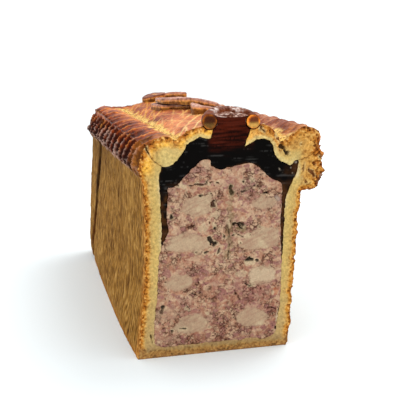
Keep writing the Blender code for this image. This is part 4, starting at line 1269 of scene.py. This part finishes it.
def ring_cap(circle):
    """A cut section of the ring: golden edge, brown middle, with painted light on the right one and painted
    shade on the left one.
    """
    # Painted light and shade: the colours of the right section are brightened, those of the left one
    # darkened.
    lit = 1.6 if circle[0, 0] > CHIMNEY_X else 0.64

    def relief(points):
        place, away = flat(points), nearest(points, circle)[0]
        tint = ramp(away + 0.7 * fractal(place, 1.8, 161),
                    [(0.0, tone(236, 136, 44)), (0.6, tone(150, 74, 24)), (1.3, tone(90, 44, 22))]) * lit
        below = smooth((RING_HEIGHT + 0.2 - points[:, 1]) / 1.6) * smooth(away / 0.7) * min(lit - 0.2, 0.85)
        back = (0.12 + 0.1 * fractal(place, 1.0, 162)) * smooth(away / 0.6)
        return np.maximum(back, 0), mix(tint, tone(176, 134, 66) * lit, below)

    return cap(circle, 0.4, relief)


COLUMN_ROWS, COLUMN_TURNS = 60, 40


def column_sheet(chimney):
    """The aspic in the chimney behind the cut face, turned round its axis from side to side."""
    angle = np.linspace(0, math.pi, COLUMN_TURNS)[None, :]
    share = (1 + np.cos(angle)) / 2
    sides = []
    for side in chimney:
        place = steps(side)[1]
        at = np.linspace(0, place[-1], COLUMN_ROWS)
        sides.append([np.interp(at, place, side[:, k])[:, None] for k in range(2)])
    (left, left_height), (right, right_height) = sides
    wide = (CHIMNEY_X - left) + ((right - CHIMNEY_X) - (CHIMNEY_X - left)) * share
    edge = (share - 0.5) ** 2 * 4
    radius = np.minimum(wide, HOLE_RADIUS - 0.3) * (1 - edge) + wide * edge
    height = left_height + (right_height - left_height) * share
    height = height + smooth((height - 106) / 4) * RING_TILT * 0.5 * np.sin(angle)
    points = np.stack([CHIMNEY_X + radius * np.cos(angle), radius * np.sin(angle), height], axis=-1)
    # The top of the aspic in the chimney: dark mauve-brown with pale painted glints.
    pool = ramp(0.45 + 0.9 * fractal(points, 1.1, 88),
                [(0.0, tone(70, 28, 14)), (0.5, tone(138, 88, 68)), (1.0, tone(218, 190, 176))])
    return grid(points, mix(JELLY, pool, smooth((height - 108.6) / 1.2)), 1.0, flip=True)


# ---- outlines on the cut face, left and right

def front_row(points, column):
    """A skin's edge on the cut face, as (x, z)."""
    return points[:, column][:, [0, 2]]


FRONT_COLUMNS = 0, -1
WALLS = [case_side(side) for side in (-1, 1)]
LID_TOP, LID_TINT = lid_skin()
FRONTS = [front_row(points, column) for (points, _), column in zip(WALLS, FRONT_COLUMNS)]
LID_FRONTS = [front_row(LID_TOP, column) for column in FRONT_COLUMNS]
INSIDE = chain(INNER_HIGH, INNER_LOW)
MEAT_EDGE = chain(turned(INNER_LOW), turned(MEAT_SIDE), turned(MEAT_TOP))
LID_UNDER = chain(UNDERSIDE)
HOLE = chain(HOLE_SIDE)
HOLE_FLOOR = ([(-1.7, 104.0), (7.8, 104.5)], [(14.6, 99.4), (7.8, 104.5)]), 1.0, False
ASPIC_EDGE = MEAT_TOP, MEAT_SIDE, turned(INNER_HIGH), UNDERSIDE

# The edge of the loaf on the cut face, and the edges between its pieces there
OUTER = np.concatenate([front[:-SEAM_ROWS - 1] for front in FRONTS]
                       + [front[SEAM_ROWS + 1:] for front in LID_FRONTS]
                       + [[(x, 0.0) for x in np.arange(-37.0, 37.5, 0.4)]])
INNER = np.concatenate([*INSIDE, *MEAT_EDGE, *LID_UNDER, *(front[-SEAM_ROWS - 1:] for front in FRONTS)])


# ---- pieces

def make_case():
    """The two long walls with the base between them."""
    floors = [floor_points(points[0]) for points, _ in WALLS]
    outline = loop(*(np.concatenate([front_row(floor[:-1], column), front, side[1:]])
                     for floor, column, front, side in zip(floors, FRONT_COLUMNS, FRONTS, INSIDE)))
    sheets = [grid(*wall) for wall in WALLS] + [grid(floor, BAKED) for floor in floors]
    for side, lap, column in zip((-1, 1), lap_turns(INSIDE), FRONT_COLUMNS):
        sheets.append(shell(INSIDE, side_turns(lap, FEW_SIDE, side), front=(column,)))
    make_piece("case", join(*sheets, cut_cap(dough_look, outline, CUT_STEP)), "crust_case", "crust")


def make_end():
    """The piece of dough at the far end."""
    points, tint = end_wall()
    floor = floor_points(points[0], STRAIGHT)
    inner = shell(INSIDE, end_turns(end_laps(INSIDE), 4, FEW_FAR), front=())
    make_piece("end", join(grid(points, tint), grid(floor, BAKED), inner), "crust_end", "crust")


def make_lid():
    """The lid, its two parts on the cut face and the hole for the chimney."""
    under = [side[::-1] for side in chain(UNDERSIDE, HOLE_FLOOR)]
    sheets = [open_hole(grid(LID_TOP, LID_TINT)), open_hole(shell(under, FEW_ROUND))]
    arcs = arc(RING_SECTION[0], 290, 207), arc(RING_SECTION[1], 250, 333)
    for side, inner, hole, curve, top in zip((-1, 1), LID_UNDER, HOLE, arcs, LID_FRONTS):
        top = top[side * (top[:, 0] - curve[-1, 0]) > 0.1]
        outline = np.concatenate([inner, hole[1:-1], curve, top[::-1][:-1]])
        sheets.append(cut_cap(dough_look, outline, CUT_STEP))
    make_piece("lid_dough", join(*sheets), "lid", "glazed_crust")


def make_lid_pieces():
    """The ornaments on the lid and the half ring round the chimney."""
    for name, (corners, underside) in ORNAMENTS.items():
        make_piece(name.replace("ornament", "dough"), ornament(corners, underside), name, "glazed_crust")
    points, tint = ring_skin()
    caps = [ring_cap(front_row(points[:-1], column)) for column in FRONT_COLUMNS]
    make_piece("ring", join(grid(points, tint), *caps), "chimney_ring", "glazed_crust")


RIM_HALF = 22             # points of half the top edge of the aspic in the chimney
RIM_SAG = 0.9


def make_aspic():
    """The aspic round the meat and in the chimney, where its top sags a little between the sections."""
    left, right = arc(RING_SECTION[0], -70, 48), arc(RING_SECTION[1], 250, 132)
    rim = np.linspace(left[-1], right[-1], 2 * RIM_HALF)
    rim[:, 1] -= RIM_SAG * np.sin(np.linspace(0, math.pi, 2 * RIM_HALF)) ** 0.5
    tops = np.concatenate([left, rim[1:RIM_HALF]]), np.concatenate([right, rim[RIM_HALF - 1:-1][::-1]])
    column = column_sheet([np.concatenate([hole[:-1], top]) for hole, top in zip(HOLE, tops)])
    left, right = (np.concatenate([side, hole[1:-1], top])
                   for side, hole, top in zip(chain(*ASPIC_EDGE), HOLE, tops))
    outline = loop(left, np.concatenate([right, left[-1:]]))
    body = shell(chain(*ASPIC_EDGE, HOLE_FLOOR), FEW_ROUND, JELLY, 1.0)
    body = open_hole(body, BODY_TOP)
    make_piece("jelly", join(body, column, cut_cap(jelly_look, outline, JELLY_STEP, 1.0)), "aspic", "aspic")


def make_meat():
    """The forcemeat and the pale pieces of meat in it."""
    face = cut_cap(meat_look, loop(*MEAT_EDGE), MEAT_STEP, 0.5, tuple(OUTLINES.values()))
    hollows = [chunk_side(name, MEAT, CHUNK_GAP) for name in CHUNKS]
    make_piece("forcemeat", join(shell(MEAT_EDGE, FEW_ROUND, MEAT), face, *hollows), "filling", "forcemeat")
    for name, outline in OUTLINES.items():
        sheet = join(cut_cap(meat_look, outline, MEAT_STEP, 0.5), chunk_side(name, PALE))
        make_piece(name.replace("meat_", ""), sheet, name, "pale_meat")


# ---- materials

def make_material(name, dry, wet, bump_size, bump_depth, spread, specular):
    """Takes its colour from the tint of the mesh, varied a little, with a fine uneven surface."""
    material = bpy.data.materials.new(name)
    material.use_nodes = True
    nodes, links = material.node_tree.nodes, material.node_tree.links
    shader = nodes["Principled BSDF"]
    shader.inputs["Specular IOR Level"].default_value = specular

    def node(kind, values, source=None, socket=0):
        """A node with these numbers, fed at one socket."""
        new = nodes.new("ShaderNode" + kind)
        for key, value in values.items():
            new.inputs[key].default_value = value
        if source:
            links.new(source, new.inputs[socket])
        return new

    tint, wetness = nodes.new("ShaderNodeAttribute"), nodes.new("ShaderNodeAttribute")
    tint.attribute_name, wetness.attribute_name = "tint", "wet"
    place = nodes.new("ShaderNodeTexCoord").outputs["Object"]
    noise = node("TexNoise", {"Scale": bump_size, "Detail": 5.0, "Roughness": 0.62}, place, "Vector")
    shade = node("MapRange", {"From Min": 0.3, "From Max": 0.7, "To Min": 1.0 - spread,
                              "To Max": 1.0 + spread}, noise.outputs["Fac"], "Value")
    scale = node("VectorMath", {}, tint.outputs["Color"])
    scale.operation = "SCALE"
    links.new(shade.outputs["Result"], scale.inputs["Scale"])
    links.new(scale.outputs["Vector"], shader.inputs["Base Color"])
    rough = node("MapRange", {"To Min": dry, "To Max": wet}, wetness.outputs["Fac"], "Value")
    links.new(rough.outputs["Result"], shader.inputs["Roughness"])
    bump = node("Bump", {"Strength": 0.6, "Distance": bump_depth * MM}, noise.outputs["Fac"], "Height")
    links.new(bump.outputs["Normal"], shader.inputs["Normal"])
    return material


# For each slot: name, roughness dry and wet, size and depth of the bumps, spread of the colour, specular
MATERIALS = {
    "crust": make_material("crust", 0.85, 0.6, 900.0, 0.3, 0.26, 0.04),
    "glazed_crust": make_material("glaze", 0.42, 0.3, 700.0, 0.3, 0.3, 0.045),
    "aspic": make_material("jelly", 0.3, 0.25, 250.0, 0.3, 0.1, 0.03),
    "forcemeat": make_material("meat", 0.7, 0.5, 1300.0, 0.35, 0.24, 0.08),
    "pale_meat": make_material("pale", 0.7, 0.5, 1200.0, 0.25, 0.14, 0.08),
}


# ---- setting

def make_floor(size):
    """A wide pale table."""
    mesh = bpy.data.meshes.new("floor")
    corners = [(-size, -size, 0), (size, -size, 0), (size, size, 0), (-size, size, 0)]
    mesh.from_pydata(corners, [], [(0, 1, 2, 3)])
    floor = add_object("floor", mesh)
    material = bpy.data.materials.new("floor")
    material.use_nodes = True
    shader = material.node_tree.nodes["Principled BSDF"]
    shader.inputs["Base Color"].default_value = (0.885, 0.95, 0.975, 1.0)
    shader.inputs["Roughness"].default_value = 0.9
    shader.inputs["Specular IOR Level"].default_value = 0.1
    mesh.materials.append(material)


def make_light(name, place, size, power, aim):
    """A round lamp that shines at a point."""
    light = bpy.data.lights.new(name, "AREA")
    light.shape = "DISK"
    light.size = size
    light.energy = power
    lamp = add_object(name, light)
    lamp.location = place
    lamp.rotation_euler = (Vector(aim) - Vector(place)).to_track_quat("-Z", "Y").to_euler()


def make_world(strength):
    """Even white light from all sides."""
    world = bpy.data.worlds.new("studio")
    world.use_nodes = True
    background = world.node_tree.nodes["Background"]
    background.inputs["Color"].default_value = (1.0, 1.0, 1.0, 1.0)
    background.inputs["Strength"].default_value = strength
    bpy.context.scene.world = world


def make_camera(place, down, aside, lens):
    """A camera that looks down and aside by so many degrees, with its place in millimetres."""
    camera = bpy.data.cameras.new("camera")
    camera.sensor_width = 36.0
    camera.lens = lens
    camera.clip_start = 0.01
    holder = add_object("camera", camera)
    holder.location = ORIGIN + np.array(place) * MM
    holder.rotation_euler = Euler((math.radians(90 - down), 0.0, math.radians(-aside)))
    bpy.context.scene.camera = holder


make_case()
make_end()
make_lid()
make_lid_pieces()
make_aspic()
make_meat()
make_floor(6.0)
make_world(1.15)
make_light("key", (0.56, 0.38, 1.22), 0.8, 6.6, (0.0, 0.0, 0.05))
make_camera((-84.61, -309.35, 131.73), 10.71, 14.75, 60.58)
bpy.context.scene.view_settings.view_transform = "Standard"
